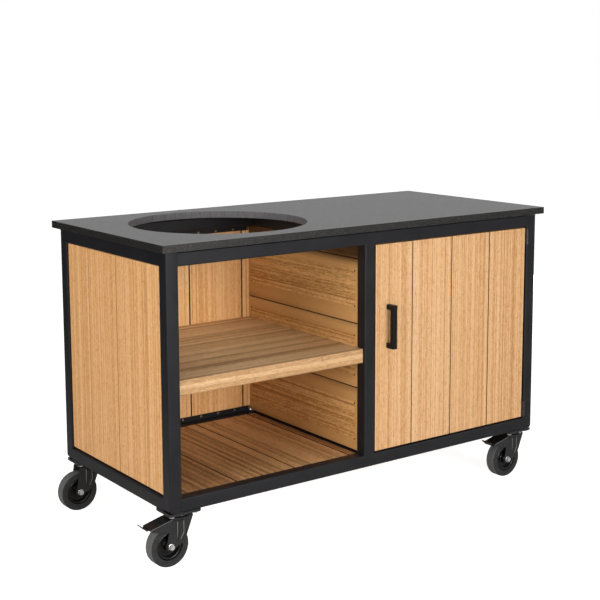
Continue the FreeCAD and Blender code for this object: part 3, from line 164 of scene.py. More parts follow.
# Bamboo: pressed strips with their own tones, fibres along the grain, knuckles across it and dark flecks
bambooValues = {
    "strip": 0.0047,  # width of a strip
    "ply": 0.0053,  # and its depth
    "contrast": 1.35,
    "strips": 1.0,  # share of the strips' own tones
    "edge": 1.0,  # share of the painted shade in the joints
    "fibreScale": 430.0,
    "fibreStretch": 0.055,
    "fibreDepth": 0.00006,
    "knuckleSpacing": 0.27,
    "knuckleHalf": 0.0026,
    "fleckSpacing": 0.021,
    "fleckShare": 0.3,
    "fleckSize": (0.0011, 0.0048),  # half its width and half its length
    "streakShare": 0.06,
    "stripTone": 0.34,
    "fibreTone": 0.8,
    "driftTone": 0.3,
    "dashTone": 0.75,
    "dashStretch": 0.2,
    "boardTone": 0.16,
    "knuckleTone": -0.22,
    "streakTone": -0.2,
    "jointTone": -0.08,
    "fleckTone": -0.42,
    "boardShift": 37.0,  # strips by which the pattern moves on from board to board
    "stripShift": 9.0,  # metres by which the fibres move on from strip to strip
    "jointShare": 0.05,
    "jointDepth": -0.8,
    "blush": (1.0, 0.97, 0.9, 1),
    "edgeTone": (0.1, 0.055, 0.03, 1),  # painted shade on the boards' sides inside the joints
    "edgeTurn": (0.08, 0.4),  # how far a face has to turn to the side for the painted shade
    "stain": (0.11, 0.085, 0.06, 1),  # painted shadow of the top rail on the head of the divider
    "roughness": 0.5,
    "specular": 0.35,
}
# Axes along the grain, across it and through the board; tones of the dark, middle and light strips
bambooKinds = {
    "bambooPanel": {
        "axes": (2, 1, 0), "strip": 0.0055, "ply": 0.0052, "contrast": 1.1, "edge": 0.6,
        "tones": ((0.48, 0.2, 0.048), (0.69, 0.385, 0.167), (0.83, 0.54, 0.3)),
    },
    "bambooDoor": {
        "axes": (2, 0, 1),
        "tones": ((0.47, 0.215, 0.068), (0.68, 0.395, 0.184), (0.8, 0.52, 0.3)),
    },
    "bambooBatten": {
        "axes": (0, 2, 1), "edge": 0.0,
        "tones": ((0.43, 0.19, 0.058), (0.64, 0.36, 0.16), (0.77, 0.49, 0.27)),
    },
    "bambooBack": {
        "axes": (2, 0, 1), "strip": 0.0055, "ply": 0.0052, "contrast": 1.0,
        # Lighter than the door's tones: partly the boards' own tone, partly painted light for the shade
        # inside the cabinet
        "tones": ((0.58, 0.27, 0.075), (0.815, 0.47, 0.205), (0.92, 0.63, 0.35)),
    },
    "bambooDivider": {
        "axes": (1, 2, 0), "strip": 0.0046, "ply": 0.0061, "strips": 0.85,
        "head": (0.796, 0.842),  # the painted shadow of the top rail fades in between these heights
        # Lighter than the door's tones: partly the boards' own tone, partly painted light for the shade
        # inside the bay
        "tones": ((0.4, 0.185, 0.048), (0.76, 0.435, 0.168), (0.9, 0.59, 0.29)),
    },
    "bambooFloor": {
        "axes": (1, 0, 2), "strip": 0.0125, "ply": 0.0061, "strips": 1.3, "contrast": 1.9,
        "tones": ((0.24, 0.12, 0.045), (0.52, 0.29, 0.125), (0.72, 0.44, 0.21)),
    },
    "bambooShelf": {
        "axes": (0, 1, 2), "strip": 0.017, "ply": 0.013, "strips": 1.9, "edge": 0.0,
        "tones": ((0.32, 0.17, 0.07), (0.56, 0.325, 0.15), (0.78, 0.52, 0.28)),
    },
}


def makeBamboo(name):
    material, tree, place = startMaterial(name)
    values = {**bambooValues, **bambooKinds[name]}
    grain, across, deep = values["axes"]
    dark, middle, light = values["tones"]
    axes = addShader(tree, "SeparateXYZ", {"Vector": place}).outputs
    along, side, down = axes[grain], axes[across], axes[deep]
    tone = addShader(tree, "Attribute", attribute_name="boardTone").outputs["Fac"]
    shift = calc(tree, "MULTIPLY", tone, values["boardShift"])
    stripPlace = calc(tree, "MULTIPLY_ADD", side, 1 / values["strip"], shift)
    strip = calc(tree, "FLOOR", stripPlace)
    layer = calc(tree, "FLOOR", calc(tree, "MULTIPLY", down, 1 / values["ply"]))
    first, second, third = drawChances(tree, combine(tree, strip, layer, shift))
    shifted = calc(tree, "MULTIPLY_ADD", first, values["stripShift"], along)
    run = calc(tree, "MULTIPLY", shifted, values["fibreStretch"])
    fibrePlace = combine(tree, side, down, run)
    fibre = noise(tree, fibrePlace, values["fibreScale"], 4.0, 0.62)
    drift = noise(tree, fibrePlace, values["fibreScale"] / 7)
    short = calc(tree, "MULTIPLY", calc(tree, "ADD", along, third), values["dashStretch"])
    dash = noise(tree, combine(tree, side, down, short), values["fibreScale"] * 0.8, 2.0, 0.6)
    spot = calc(tree, "FRACT", calc(tree, "MULTIPLY_ADD", along, 1 / values["knuckleSpacing"], second))
    away = calc(tree, "ABSOLUTE", calc(tree, "SUBTRACT", spot, 0.5))
    reach = values["knuckleHalf"] / values["knuckleSpacing"]
    knuckle = remap(tree, away, reach * 0.3, reach, 1.0, 0.0, True)
    fleckShift = calc(tree, "MULTIPLY", third, values["stripShift"])
    fleckPlace = calc(tree, "MULTIPLY_ADD", along, 1 / values["fleckSpacing"], fleckShift)
    fleckCell = combine(tree, strip, calc(tree, "FLOOR", fleckPlace), calc(tree, "ADD", shift, layer))
    picks = drawChances(tree, fleckCell)
    fleck = calc(tree, "GREATER_THAN", picks[2], 1 - values["fleckShare"])
    spans = (stripPlace, values["strip"]), (fleckPlace, values["fleckSpacing"])
    for (line, length), pick, half in zip(spans, picks, values["fleckSize"]):
        seat = remap(tree, pick, 0.0, 1.0, 0.25, 0.75)
        gap = calc(tree, "ABSOLUTE", calc(tree, "SUBTRACT", calc(tree, "FRACT", line), seat))
        inside = remap(tree, gap, half * 0.3 / length, half / length, 1.0, 0.0, True)
        fleck = calc(tree, "MULTIPLY", fleck, inside)
    streak = calc(tree, "GREATER_THAN", third, 1 - values["streakShare"])
    joint = remap(tree, calc(tree, "PINGPONG", stripPlace, 0.5), 0.0, values["jointShare"], 1.0, 0.0, True)
    values["stripTone"] *= values["strips"]
    level = 0.5
    for part, centre, key in (
        (first, 0.5, "stripTone"), (fibre, 0.5, "fibreTone"), (drift, 0.5, "driftTone"),
        (tone, 0.5, "boardTone"), (knuckle, 0.0, "knuckleTone"), (streak, 0.0, "streakTone"),
        (joint, 0.0, "jointTone"), (fleck, 0.0, "fleckTone"), (dash, 0.5, "dashTone"),
    ):
        weight = values[key] * values["contrast"]
        level = calc(tree, "MULTIPLY_ADD", calc(tree, "SUBTRACT", part, centre), weight, level)
    ramp = addShader(tree, "ValToRGB", {"Fac": level})
    stops = ramp.color_ramp.elements
    stops[0].position, stops[0].color = 0.08, (*dark, 1)
    stops[1].position, stops[1].color = 0.92, (*light, 1)
    stops.new(0.5).color = (*middle, 1)
    blush = remap(tree, second, 0.45, 1.0)
    colour = blendColours(tree, blush, ramp.outputs["Color"], values["blush"], "MULTIPLY")
    # Painted shade in the joints: faces turned to the side are darkened by the joint shade tone
    turned = calc(tree, "ABSOLUTE", facing(tree, across))
    edge = remap(tree, turned, *values["edgeTurn"], 0.0, values["edge"], True)
    colour = blendColours(tree, edge, colour, values["edgeTone"], "MULTIPLY")
    # Painted shadow under the top rail, darkest at the head of the divider
    if "head" in values:
        shadowed = remap(tree, axes[2], *values["head"], 0.0, 1.0, True)
        colour = blendColours(tree, shadowed, colour, values["stain"], "MULTIPLY")
    roughness = remap(tree, fibre, 0.2, 0.8, values["roughness"] + 0.08, values["roughness"] - 0.06)
    height = calc(tree, "MULTIPLY_ADD", joint, values["jointDepth"], fibre)
    endMaterial(tree, colour, roughness, height, values["fibreDepth"], specular=values["specular"])
    return material


graniteValues = {
    "hole": (-0.31825, 0.005, 0.2812),  # axis in X and Y, and the reach of the sawn wall
    "dark": (0.004, 0.004, 0.0042, 1),
    "grey": (0.0125, 0.0125, 0.0128, 1),
    "speck": (0.085, 0.083, 0.079, 1),
    "sawn": (0.155, 0.157, 0.17, 1),
    "sheen": (1, 0.99, 0.97),
    "grain": 330.0,
    "specks": 720.0,
    "streaks": 240.0,
    "roughness": 0.38,
    "sawnRoughness": 0.35,  # more than the honed faces have
    "depth": 0.00004,
}


def makeGranite(name, values):
    material, tree, place = startMaterial(name)
    grains = addShader(tree, "TexVoronoi", {"Vector": place, "Scale": values["grain"]})
    mottle = channels(tree, grains)[0]
    cloud = noise(tree, place, 45.0, 4.0, 0.6)
    body = blendColours(tree, calc(tree, "MULTIPLY_ADD", cloud, 0.5, calc(tree, "MULTIPLY", mottle, 0.5)),
                        values["dark"], values["grey"])
    cells = addShader(tree, "TexVoronoi", {"Vector": place, "Scale": values["specks"]})
    speck = remap(tree, channels(tree, cells)[1], 0.86, 0.97)
    body = blendColours(tree, speck, body, values["speck"])
    x, y, reach = values["hole"]
    flat = {"Vector": place, "Location": (-x, -y, 0), "Scale": (1, 1, 0)}
    away = distance(tree, addShader(tree, "Mapping", flat).outputs[0])
    sawn = calc(tree, "LESS_THAN", away, reach)
    streaks = noise(tree, stretch(tree, place, (1, 1, 0.15)), values["streaks"], 3.0, 0.7)
    cutTone = remap(tree, streaks, 0.3, 0.7, 0.42, 0.95)
    cutBody = blendColours(tree, cutTone, values["grey"], values["sawn"])
    colour = blendColours(tree, sawn, body, cutBody)
    honed = remap(tree, mottle, 0, 1, values["roughness"], values["roughness"] + 0.07)
    roughness = calc(tree, "MULTIPLY_ADD", sawn, values["sawnRoughness"], honed)
    height = calc(tree, "ADD", mottle, speck)
    endMaterial(tree, colour, roughness, height, values["depth"], specular=0.35, tint=values["sheen"])
    return material


# Powder coat and smooth lacquer
def makeCoat(name, colour, pale, roughness, grain=850.0, depth=0.00005, specular=0.5):
    material, tree, place = startMaterial(name)
    peel = noise(tree, place, grain)
    wide = noise(tree, place, 14.0, 3.0, 0.55)
    colour = blendColours(tree, remap(tree, wide, 0.3, 0.7), (*colour, 1), (*pale, 1))
    sheen = remap(tree, wide, 0.3, 0.7, roughness - 0.04, roughness + 0.05)
    endMaterial(tree, colour, sheen, peel, depth, specular=specular)
    return material


# Black lacquer on pressed steel, with painted highlights along its folds and painted shade on faces that
# turn up
lacquerValues = {
    "colour": (0.0225, 0.0228, 0.024, 1),
    # Colour of the painted highlights along the folds; the dust also mixes towards it
    "rubbed": (0.34, 0.34, 0.345, 1),
    "tops": (0.25, 0.27, 0.3, 1),  # painted shade on faces that turn up
    "topTurn": (0.5, 0.85),
    "dust": 0.1,
    "roughness": 0.4,
    "polish": 0.12,  # how much smoother the painted highlight lines are
}


def makeLacquer(name, values):
    material, tree, place = startMaterial(name)
    # Painted highlight along the folds, broken into patches
    highlightShare = addShader(tree, "Attribute", attribute_name="rubbed").outputs["Fac"]
    patches = remap(tree, noise(tree, place, 210.0, 3.0, 0.6), 0.3, 0.6, 0.55, 1.0)
    share = calc(tree, "MULTIPLY", highlightShare, patches)
    dust = remap(tree, noise(tree, place, 420.0, 4.0, 0.7), 0.52, 0.72, 0.0, values["dust"])
    colour = blendColours(tree, calc(tree, "ADD", share, dust), values["colour"], values["rubbed"])
    # Painted shade on faces turned up, except along the painted highlights
    unhighlighted = calc(tree, "SUBTRACT", 1.0, highlightShare)
    shaded = calc(tree, "MULTIPLY", remap(tree, facing(tree, 2), *values["topTurn"]), unhighlighted)
    colour = blendColours(tree, shaded, colour, values["tops"], "MULTIPLY")
    peel = noise(tree, place, 500.0)
    roughness = values["roughness"]
    sheen = remap(tree, share, 0.0, 1.0, roughness, roughness - values["polish"])
    endMaterial(tree, colour, sheen, peel, 0.00003, specular=0.16)
    return material


# Tyre rubber, with a lighter and streaked tread
tyreRubberValues = {
    "colour": (0.0215, 0.0222, 0.0232, 1),
    "worn": (0.14, 0.143, 0.146, 1),
    "dust": 0.16,
    "roughness": 0.6,
    "treadRoughness": 0.8,
}


def makeTyreRubber(name, values):
    material, tree, place = startMaterial(name)
    tread = addShader(tree, "Attribute", attribute_name="tread").outputs["Fac"]
    around = stretch(tree, place, (0.12, 1, 0.12))
    streaks = remap(tree, noise(tree, around, 1100.0, 3.0, 0.6), 0.3, 0.7, 0.55, 1.0)
    dust = remap(tree, noise(tree, place, 90.0, 5.0, 0.65), 0.35, 0.75, 0.0, values["dust"])
    share = calc(tree, "MULTIPLY_ADD", tread, streaks, dust)
    fine = noise(tree, place, 1500.0)
    colour = blendColours(tree, share, values["colour"], values["worn"])
    sheen = remap(tree, share, 0.0, 1.0, values["roughness"], values["treadRoughness"])
    endMaterial(tree, colour, sheen, fine, 0.00004, specular=0.15)
    return material


def makeRubber(name, colour, worn, roughness):
    material, tree, place = startMaterial(name)
    dust = remap(tree, noise(tree, place, 120.0, 5.0, 0.65), 0.42, 0.72)
    fine = noise(tree, place, 1500.0)
    colour = blendColours(tree, dust, (*colour, 1), (*worn, 1))
    sheen = remap(tree, dust, 0, 1, roughness, roughness + 0.12)
    endMaterial(tree, colour, sheen, fine, 0.00004, specular=0.4)
    return material


def makeMetal(name, colour, tint, roughness):
    material, tree, place = startMaterial(name)
    patch = noise(tree, place, 260.0, 3.0, 0.6)
    drawn = noise(tree, stretch(tree, place, (1, 6, 1)), 700.0)
    colour = blendColours(tree, remap(tree, patch, 0.35, 0.65), (*colour, 1), (*tint, 1))
    sheen = remap(tree, patch, 0.3, 0.7, roughness - 0.05, roughness + 0.08)
    endMaterial(tree, colour, sheen, drawn, 0.00002, metal=1.0)
    return material


# A finish for each slot, and a few nodes' own
finishes = {
    "frame_black": makeCoat("powderCoat", (0.0088, 0.0092, 0.0112), (0.0118, 0.0122, 0.0146), 0.42,
                            specular=0.22),
    "granite": makeGranite("honedGranite", graniteValues),
    "pad_rubber": makeRubber("padRubber", (0.018, 0.018, 0.018), (0.03, 0.03, 0.03), 0.75),
    "bamboo_panel": makeBamboo("bambooPanel"),
    "bamboo_floor": makeBamboo("bambooFloor"),
    "bamboo_shelf": makeBamboo("bambooShelf"),
    "bamboo_door": makeBamboo("bambooDoor"),
    "tyre_rubber": makeTyreRubber("tyreRubber", tyreRubberValues),
    "core_plastic": makeCoat("corePlastic", (0.004, 0.004, 0.0044), (0.006, 0.006, 0.0065), 0.16, 900.0,
                             0.00001, specular=0.3),
    "caster_black": makeLacquer("casterLacquer", lacquerValues),
    "zinc": makeMetal("zincPlating", (0.78, 0.79, 0.8), (0.62, 0.625, 0.63), 0.24),
    "hinge_steel": makeCoat("hingeLacquer", (0.012, 0.012, 0.012), (0.02, 0.02, 0.02), 0.3, 700.0, 0.00002),
    "catch_plastic": makeCoat("catchPlastic", (0.02, 0.02, 0.02), (0.028, 0.028, 0.028), 0.45, 1200.0,
                              0.00002),
}
ownFinishes = {
    "divider_boards": makeBamboo("bambooDivider"),
    "back_boards": makeBamboo("bambooBack"),
    "door_battens": makeBamboo("bambooBatten"),
    "door_handle": makeCoat("pullLacquer", (0.0055, 0.0055, 0.0055), (0.008, 0.008, 0.008), 0.42,
                            specular=0.14),
    "caster_rings": makeCoat("ringLacquer", (0.01, 0.01, 0.01), (0.014, 0.014, 0.014), 0.16, 300.0, 0.00001),
    "panel_screws": makeMetal("yellowPlating", (0.3, 0.24, 0.13), (0.2, 0.16, 0.09), 0.42),
}
print("materials made:", len(bpy.data.materials))


def finishOf(nodeName, slotName):
    return ownFinishes.get(nodeName, finishes[slotName])


# CAD nodes that show as they are, by the start of their names
dressed = set()
for slotName, names in {
    "frame_black": "corner_gussets side_angles back_angles divider_angle floor_bearers",
    "pad_rubber": "worktop_pads",
    "bamboo_door": "door_battens",
    "caster_black": "caster_plates",
    "hinge_steel": "hinge_",
    "catch_plastic": "door_catch",
    "zinc": "panel_screws door_screws handle_screws shelf_pins strike_plate caster_kingpins caster_bolts",
}.items():
    for nodeName in nodes:
        if nodeName.startswith(tuple(names.split())):
            dressed.add(nodeName)
            for place in nodes[nodeName].material_slots:
                place.material = finishOf(nodeName, slotName)
print("CAD nodes dressed:", len(dressed))


# Piece helpers
def solidBoxes(nodeName):  # lowest and highest corner of each solid of a CAD node
    mesh = bmesh.new()
    mesh.from_mesh(nodes[nodeName].data)
    bmesh.ops.remove_doubles(mesh, verts=mesh.verts, dist=1e-6)
    waiting = set(mesh.faces)
    boxes = []
    while waiting:
        reached = [waiting.pop()]
        solid = list(reached)
        while reached:  # solids that touch share edges of more than two faces
            for edge in reached.pop().edges:
                for face in edge.link_faces if len(edge.link_faces) == 2 else ():
                    if face in waiting:
                        waiting.remove(face)
                        reached.append(face)
                        solid.append(face)
        corners = [corner.co for face in solid for corner in face.verts]
        boxes.append([Vector([pick(co[i] for co in corners) for i in range(3)]) for pick in (min, max)])
    mesh.free()
    return sorted(boxes, key=lambda pair: tuple(round(value, 4) for value in (*pair[0], *pair[1])))


def addBlock(mesh, low, high):
    middle = Matrix.Translation((low + high) / 2)
    size = Matrix.Diagonal((*(high - low), 1))
    return bmesh.ops.create_cube(mesh, size=1, matrix=middle @ size)["verts"]


def bevelEdges(mesh, edges, width, segments=2):
    bmesh.ops.bevel(mesh, geom=edges, offset=width, offset_type="OFFSET", affect="EDGES", segments=segments,
                    profile=0.5, material=-1, clamp_overlap=True)


def roundCorners(mesh, corners, rounds, segments):  # rounds: the numbers of the corners for each width
    for width, picks in rounds.items():
        bmesh.ops.bevel(mesh, geom=[corners[i] for i in picks], offset=width, offset_type="OFFSET",
                        affect="VERTICES", segments=segments, profile=0.5, material=-1)


def raiseFaces(mesh, faces, move):  # extrudes a copy and leaves the faces where they are
    raised = bmesh.ops.extrude_face_region(mesh, geom=faces, use_keep_orig=True)["geom"]
    corners = [part for part in raised if isinstance(part, bmesh.types.BMVert)]
    bmesh.ops.translate(mesh, verts=corners, vec=move)


def facesSince(mesh, old):
    return [face for face in mesh.faces if not any(corner in old for corner in face.verts)]


def edgesOf(corners):
    return list({edge for corner in corners for edge in corner.link_edges})


def lengthOf(edge, axis):
    return abs(edge.verts[0].co[axis] - edge.verts[1].co[axis])


def addObject(name, mesh, material=None):
    data = bpy.data.meshes.new(name)
    mesh.to_mesh(data)
    mesh.free()
    if material:
        data.materials.append(material)
    item = bpy.data.objects.new(name, data)
    scene.collection.objects.link(item)
    return item


def endPiece(mesh, body, slot, *replaced, name=None, sharp=40):  # named after the node it replaces
    bmesh.ops.recalc_face_normals(mesh, faces=mesh.faces)
    piece = addObject(name or camelName(replaced[0]), mesh, finishOf(replaced[0], slot))
    piece.data.shade_smooth()
    piece.data.set_sharp_from_angle(angle=math.radians(sharp))
    even = piece.modifiers.new("evenShading", "WEIGHTED_NORMAL")  # flats stay flat beside rounded edges
    even.keep_sharp = True
    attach(piece, body)
    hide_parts(*replaced)
    return piece


def camelName(nodeName):
    first, *others = nodeName.split("_")
    return first + "".join(word.capitalize() for word in others)


def boreHoles(piece, places, values):  # level holes along X, from the middle of their mouths
    cutter = bmesh.new()
    turn = Matrix.Rotation(math.radians(90), 4, "Y")
    radius, depth = values["radius"], values["depth"]
    for place in places:
        bmesh.ops.create_cone(cutter, cap_ends=True, segments=values["sides"], radius1=radius,
                              radius2=radius, depth=2 * depth, matrix=Matrix.Translation(place) @ turn)
    drill = addObject("drill", cutter)
    bore = piece.modifiers.new("bore", "BOOLEAN")
    bore.object = drill
    bore.operation = "DIFFERENCE"
    bore.solver = "EXACT"
    bpy.context.view_layer.update()
    cut = bpy.data.meshes.new_from_object(piece.evaluated_get(bpy.context.evaluated_depsgraph_get()))
    piece.modifiers.clear()
    piece.data = cut
    cut.name = piece.name
    bpy.data.objects.remove(drill)


# Welded frame of square tube with rounded corners
tubeValues = {"corner": 0.0042, "cornerSegments": 4, "foot": 0.012, "footSegments": 6}


def addTube(mesh, low, high, footSides=()):
    long = max(range(3), key=lambda axis: (high - low)[axis])
    corners = addBlock(mesh, low, high)
    old = set(mesh.verts) - set(corners)
    foot = []
    for edge in edgesOf(corners):
        middle = (edge.verts[0].co + edge.verts[1].co) / 2
        for axis, side in footSides:
            if abs(middle.z - low.z) < 1e-5 and abs(middle[axis] - (low, high)[side][axis]) < 1e-5:
                foot.append(edge)
    if foot:
        bevelEdges(mesh, foot, tubeValues["foot"], tubeValues["footSegments"])
    corners = [corner for corner in mesh.verts if corner not in old]
    rims = []
    for edge in edgesOf(corners):
        ends = [corner.co[long] for corner in edge.verts]
        capped = any(all(abs(end - cap[long]) < 1e-5 for end in ends) for cap in (low, high))
        if not capped and edge.calc_face_angle(0) > math.radians(60):
            rims.append(edge)
    bevelEdges(mesh, rims, tubeValues["corner"], tubeValues["cornerSegments"])


postFeet = {
    "post_front_left": ((0, 0),),
    "post_front_right": ((0, 1),),
    "post_rear_left": ((0, 0), (1, 1)),
    "post_rear_right": ((0, 1), (1, 1)),
}
tubeNodes = [*postFeet, "middle_post_front", "middle_post_rear", "top_rails", "bottom_rails"]
tubes = {}
for nodeName in tubeNodes:
    mesh = bmesh.new()
    for low, high in solidBoxes(nodeName):
        if nodeName not in postFeet:  # butted ends run in as far as the rounding they meet
            long = max(range(3), key=lambda axis: (high - low)[axis])
            low[long] -= tubeValues["corner"]
            high[long] += tubeValues["corner"]
        addTube(mesh, low, high, postFeet.get(nodeName, ()))
    tubes[nodeName] = endPiece(mesh, "table", "frame_black", nodeName)
print("frame tubes built")


# Boards with eased edges, one block for each solid
boardValues = {"seed": 7, "segments": 2}


def makeBoards(nodeName, body, slot, ease, squareEnds=None):  # squareEnds: axis whose ends are cut square
    chance = random.Random(nodeName + str(boardValues["seed"]))
    mesh = bmesh.new()
    toneLayer = mesh.verts.layers.float.new("boardTone")
    for low, high in solidBoxes(nodeName):
        old = set(mesh.verts)
        edges = edgesOf(addBlock(mesh, low, high))
        if squareEnds is not None:
            edges = [edge for edge in edges if lengthOf(edge, squareEnds) > ease]
        bevelEdges(mesh, edges, ease, boardValues["segments"])
        tone = chance.random()
        for corner in mesh.verts:
            if corner not in old:
                corner[toneLayer] = tone
    return endPiece(mesh, body, slot, nodeName)


for nodeName, ease in (("side_boards_left", 0.0008), ("side_boards_right", 0.0008), ("back_boards", 0.0012)):
    makeBoards(nodeName, "table", "bamboo_panel", ease)
dividerPiece = makeBoards("divider_boards", "table", "bamboo_panel", 0.0009, squareEnds=1)
makeBoards("floor_boards", "table", "bamboo_floor", 0.003)
makeBoards("shelf", "table", "bamboo_shelf", 0.0018)
makeBoards("door_boards", "door", "bamboo_door", 0.0018)
print("boards built")


# Columns of pin holes in the left posts and the divider
pinHoleValues = {
    "radius": 0.00305,
    "depth": 0.012,
    "sides": 20,
    "levels": (0.247, 0.364, 0.456, 0.5005, 0.583, 0.677, 0.789),
}


def boreColumns(values):
    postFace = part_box("post_front_left")[1].x
    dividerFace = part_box("divider_boards")[0].x
    dividerHoles = []
    for low, high in solidBoxes("shelf_pins"):
        y = (low.y + high.y) / 2
        face = dividerFace if low.x > 0.5 * (postFace + dividerFace) else postFace
        column = [Vector((face, y, level)) for level in values["levels"]]
        if face == dividerFace:
            dividerHoles += column
        else:
            post = "post_front_left" if y < 0 else "post_rear_left"
            boreHoles(tubes[post], column, values)
    boreHoles(dividerPiece, dividerHoles, values)


boreColumns(pinHoleValues)
print("pin holes bored")


# Granite slab with its round cut-out
slabValues = {
    "corner": 0.002,
    "cornerSegments": 4,
    "edge": 0.0022,
    "rim": 0.001,
    "radius": 0.28,
    "rimSegments": 160,
    "easeSegments": 3,
}


def makeSlab(values):
    low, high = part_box("worktop")
    mesh = bmesh.new()
    middle = (low + high) / 2
    size = Matrix.Diagonal((high.x - low.x, high.y - low.y, 1, 1))
    place = Matrix.Translation((middle.x, middle.y, low.z))
    corners = bmesh.ops.create_grid(mesh, x_segments=1, y_segments=1, size=0.5, matrix=place @ size)["verts"]
    roundCorners(mesh, corners, {values["corner"]: range(4)}, values["cornerSegments"])
    bmesh.ops.delete(mesh, geom=list(mesh.faces), context="FACES_ONLY")
    x, y, _ = graniteValues["hole"]
    bmesh.ops.create_circle(mesh, segments=values["rimSegments"], radius=values["radius"],
                            matrix=Matrix.Translation((x, y, low.z)))
    bmesh.ops.triangle_fill(mesh, edges=list(mesh.edges), use_beauty=True)
    bmesh.ops.recalc_face_normals(mesh, faces=mesh.faces)
    raiseFaces(mesh, list(mesh.faces), (0, 0, high.z - low.z))
    bmesh.ops.recalc_face_normals(mesh, faces=mesh.faces)
    centre = Vector((x, y))
    rims = {"edge": [], "rim": []}
    for edge in mesh.edges:
        if edge.is_manifold and edge.calc_face_angle(0) > math.radians(69) and lengthOf(edge, 2) < 1e-6:
            away = (edge.verts[0].co.xy - centre).length
            rims["rim" if away < values["radius"] + values["rim"] else "edge"].append(edge)
    for key, edges in rims.items():
        bevelEdges(mesh, edges, values[key], values["easeSegments"])
    endPiece(mesh, "table", "granite", "worktop", name="graniteTop", sharp=50)


makeSlab(slabValues)
print("slab built")


# D-shaped pull of square bar
pullValues = {"bar": 0.016, "ease": 0.0008}


def makePull(values):
    low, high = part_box("door_handle")
    bar = values["bar"]
    mesh = bmesh.new()
    outline = [
        (high.y, low.z), (low.y, low.z), (low.y, high.z), (high.y, high.z), (high.y, high.z - bar),
        (low.y + bar, high.z - bar), (low.y + bar, low.z + bar), (high.y, low.z + bar),
    ]
    face = mesh.faces.new([mesh.verts.new((low.x, y, z)) for y, z in outline])
    raiseFaces(mesh, [face], (high.x - low.x, 0, 0))
    bmesh.ops.recalc_face_normals(mesh, faces=mesh.faces)
    free = [edge for edge in mesh.edges if max(corner.co.y for corner in edge.verts) < high.y - 1e-5
            or lengthOf(edge, 1) > 1e-4]  # all but those against the door
    bevelEdges(mesh, free, values["ease"])
    endPiece(mesh, "door", "frame_black", "door_handle", name="doorPull")


makePull(pullValues)
print("pull built")


# Helpers for turned, pressed and hexagonal pieces
# The closed profile is of (radius, along the axis)
def addTurned(mesh, profile, centre, axis, steps, rounds={}, segments=5):
    old = set(mesh.edges)
    oldFaces = set(mesh.faces)
    corners = [mesh.verts.new(centre + Vector((radius, 0, 0)) + axis * along) for radius, along in profile]
    mesh.faces.new(corners)
    roundCorners(mesh, corners, rounds, segments)
    bmesh.ops.delete(mesh, geom=[face for face in mesh.faces if face not in oldFaces], context="FACES_ONLY")
    rim = [edge for edge in mesh.edges if edge not in old]
    ends = list({corner for edge in rim for corner in edge.verts})
    bmesh.ops.spin(mesh, geom=rim + ends, cent=centre, axis=axis, dvec=(0, 0, 0), angle=math.tau,
                   steps=steps, use_merge=True, use_duplicate=False)


# Outline in X and Z, thickness along Y; bend gives the side, width and picking of a wider folded edge
def addSheet(mesh, outline, low, high, ease, rounds={}, bend=None, segments=6, bendSegments=4, turn=35):
    old = set(mesh.verts)
    corners = [mesh.verts.new((x, low, z)) for x, z in outline]
    mesh.faces.new(corners)
    roundCorners(mesh, corners, rounds, segments)
    raiseFaces(mesh, facesSince(mesh, old), (0, high - low, 0))
    fresh = facesSince(mesh, old)
    bmesh.ops.recalc_face_normals(mesh, faces=fresh)
    edges = {edge for face in fresh for edge in face.edges if edge.calc_face_angle(0) > math.radians(turn)}
    if bend:
        side, width, picked = bend
        folded = {edge for edge in edges if all(abs(corner.co.y - side) < 1e-6 for corner in edge.verts)
                  and picked(edge)}
        edges -= folded
        bevelEdges(mesh, list(folded), width, bendSegments)
        edges = {edge for edge in edges if edge.is_valid}
    bevelEdges(mesh, list(edges), ease)


# Insets the widest new face at this Y, and gives the corners of its rim and those inside
def frameFace(mesh, old, level, width):
    fresh = [spot for spot in mesh.verts if spot not in old and abs(spot.co.y - level) < 1e-6]
    widest = max({near for spot in fresh for near in spot.link_faces}, key=lambda near: near.calc_area())
    rim = list(widest.verts)
    bmesh.ops.inset_individual(mesh, faces=[widest], thickness=width, use_even_offset=True)
    return rim, list(widest.verts)


def addHexagon(mesh, centre, low, high, radius, chamfer):  # wrench flats along Y, chamfered at both ends
    middle = centre + Vector((0, (low + high) / 2, 0))
    place = Matrix.Translation(middle) @ Matrix.Rotation(math.radians(90), 4, "X")
    ends = bmesh.ops.create_cone(mesh, cap_ends=True, segments=6, radius1=radius, radius2=radius,
                                 depth=high - low, matrix=place)["verts"]
    roundCorners(mesh, ends, {chamfer: range(12)}, 2)


# Wheels with their axles, turned about the axle line
tyreValues = {
    "profile": (  # radius, from the middle of the tread
        (0.0425, -0.0172), (0.0482, -0.0172), (0.0488, -0.018), (0.0625, -0.018),
        (0.0625, 0.018), (0.0488, 0.018), (0.0482, 0.0172), (0.0425, 0.0172),
    ),
    "shoulder": 0.0045,
    "steps": 112,
    "treadStart": 0.0608,  # the worn tread shades in from here
    "treadEnd": 0.0623,
}
coreValues = {
    "half": (  # radius, from the middle of the web
        (0.0062, 0.0202), (0.0138, 0.0202), (0.015, 0.019), (0.0153, 0.0068), (0.017, 0.005),
        (0.0205, 0.005), (0.0214, 0.0066), (0.0236, 0.0066), (0.0245, 0.005), (0.0315, 0.005),
        (0.0333, 0.0068), (0.0333, 0.0155), (0.0413, 0.0155), (0.0413, 0.012), (0.0425, 0.012),
    ),
    "bead": 0.0037,  # the rim's rolled edge
    "beadFrom": (0.03, 0.015),  # radius and distance from the web past which corners are rolled
    "steps": 112,
}
axleValues = {
    "cheek": 0.0235,  # half of the fork's width
    "nutHeight": 0.0083,
    "nutRadius": 0.0084,
    "chamfer": 0.0011,
    "flange": 0.0092,
    "flangeHeight": 0.0014,
    "capStart": 0.5,  # in heights of the flange, as the cone's end is
    "coneEnd": 1.6,
    "coneTop": 0.8,  # in radii of the nut
    "flangeEase": 0.0005,
    "flangeSteps": 36,
    "thread": (0.0056, 0.0007, 0.0007),  # radius, length past the nut, pitch
    "threadEnd": 0.0008,
    "threadSteps": 28,
    "bore": 0.004,
    "axis": 0.0001,  # the least radius of turned pieces
}
across, upward = Vector((0, 1, 0)), Vector((0, 0, 1))


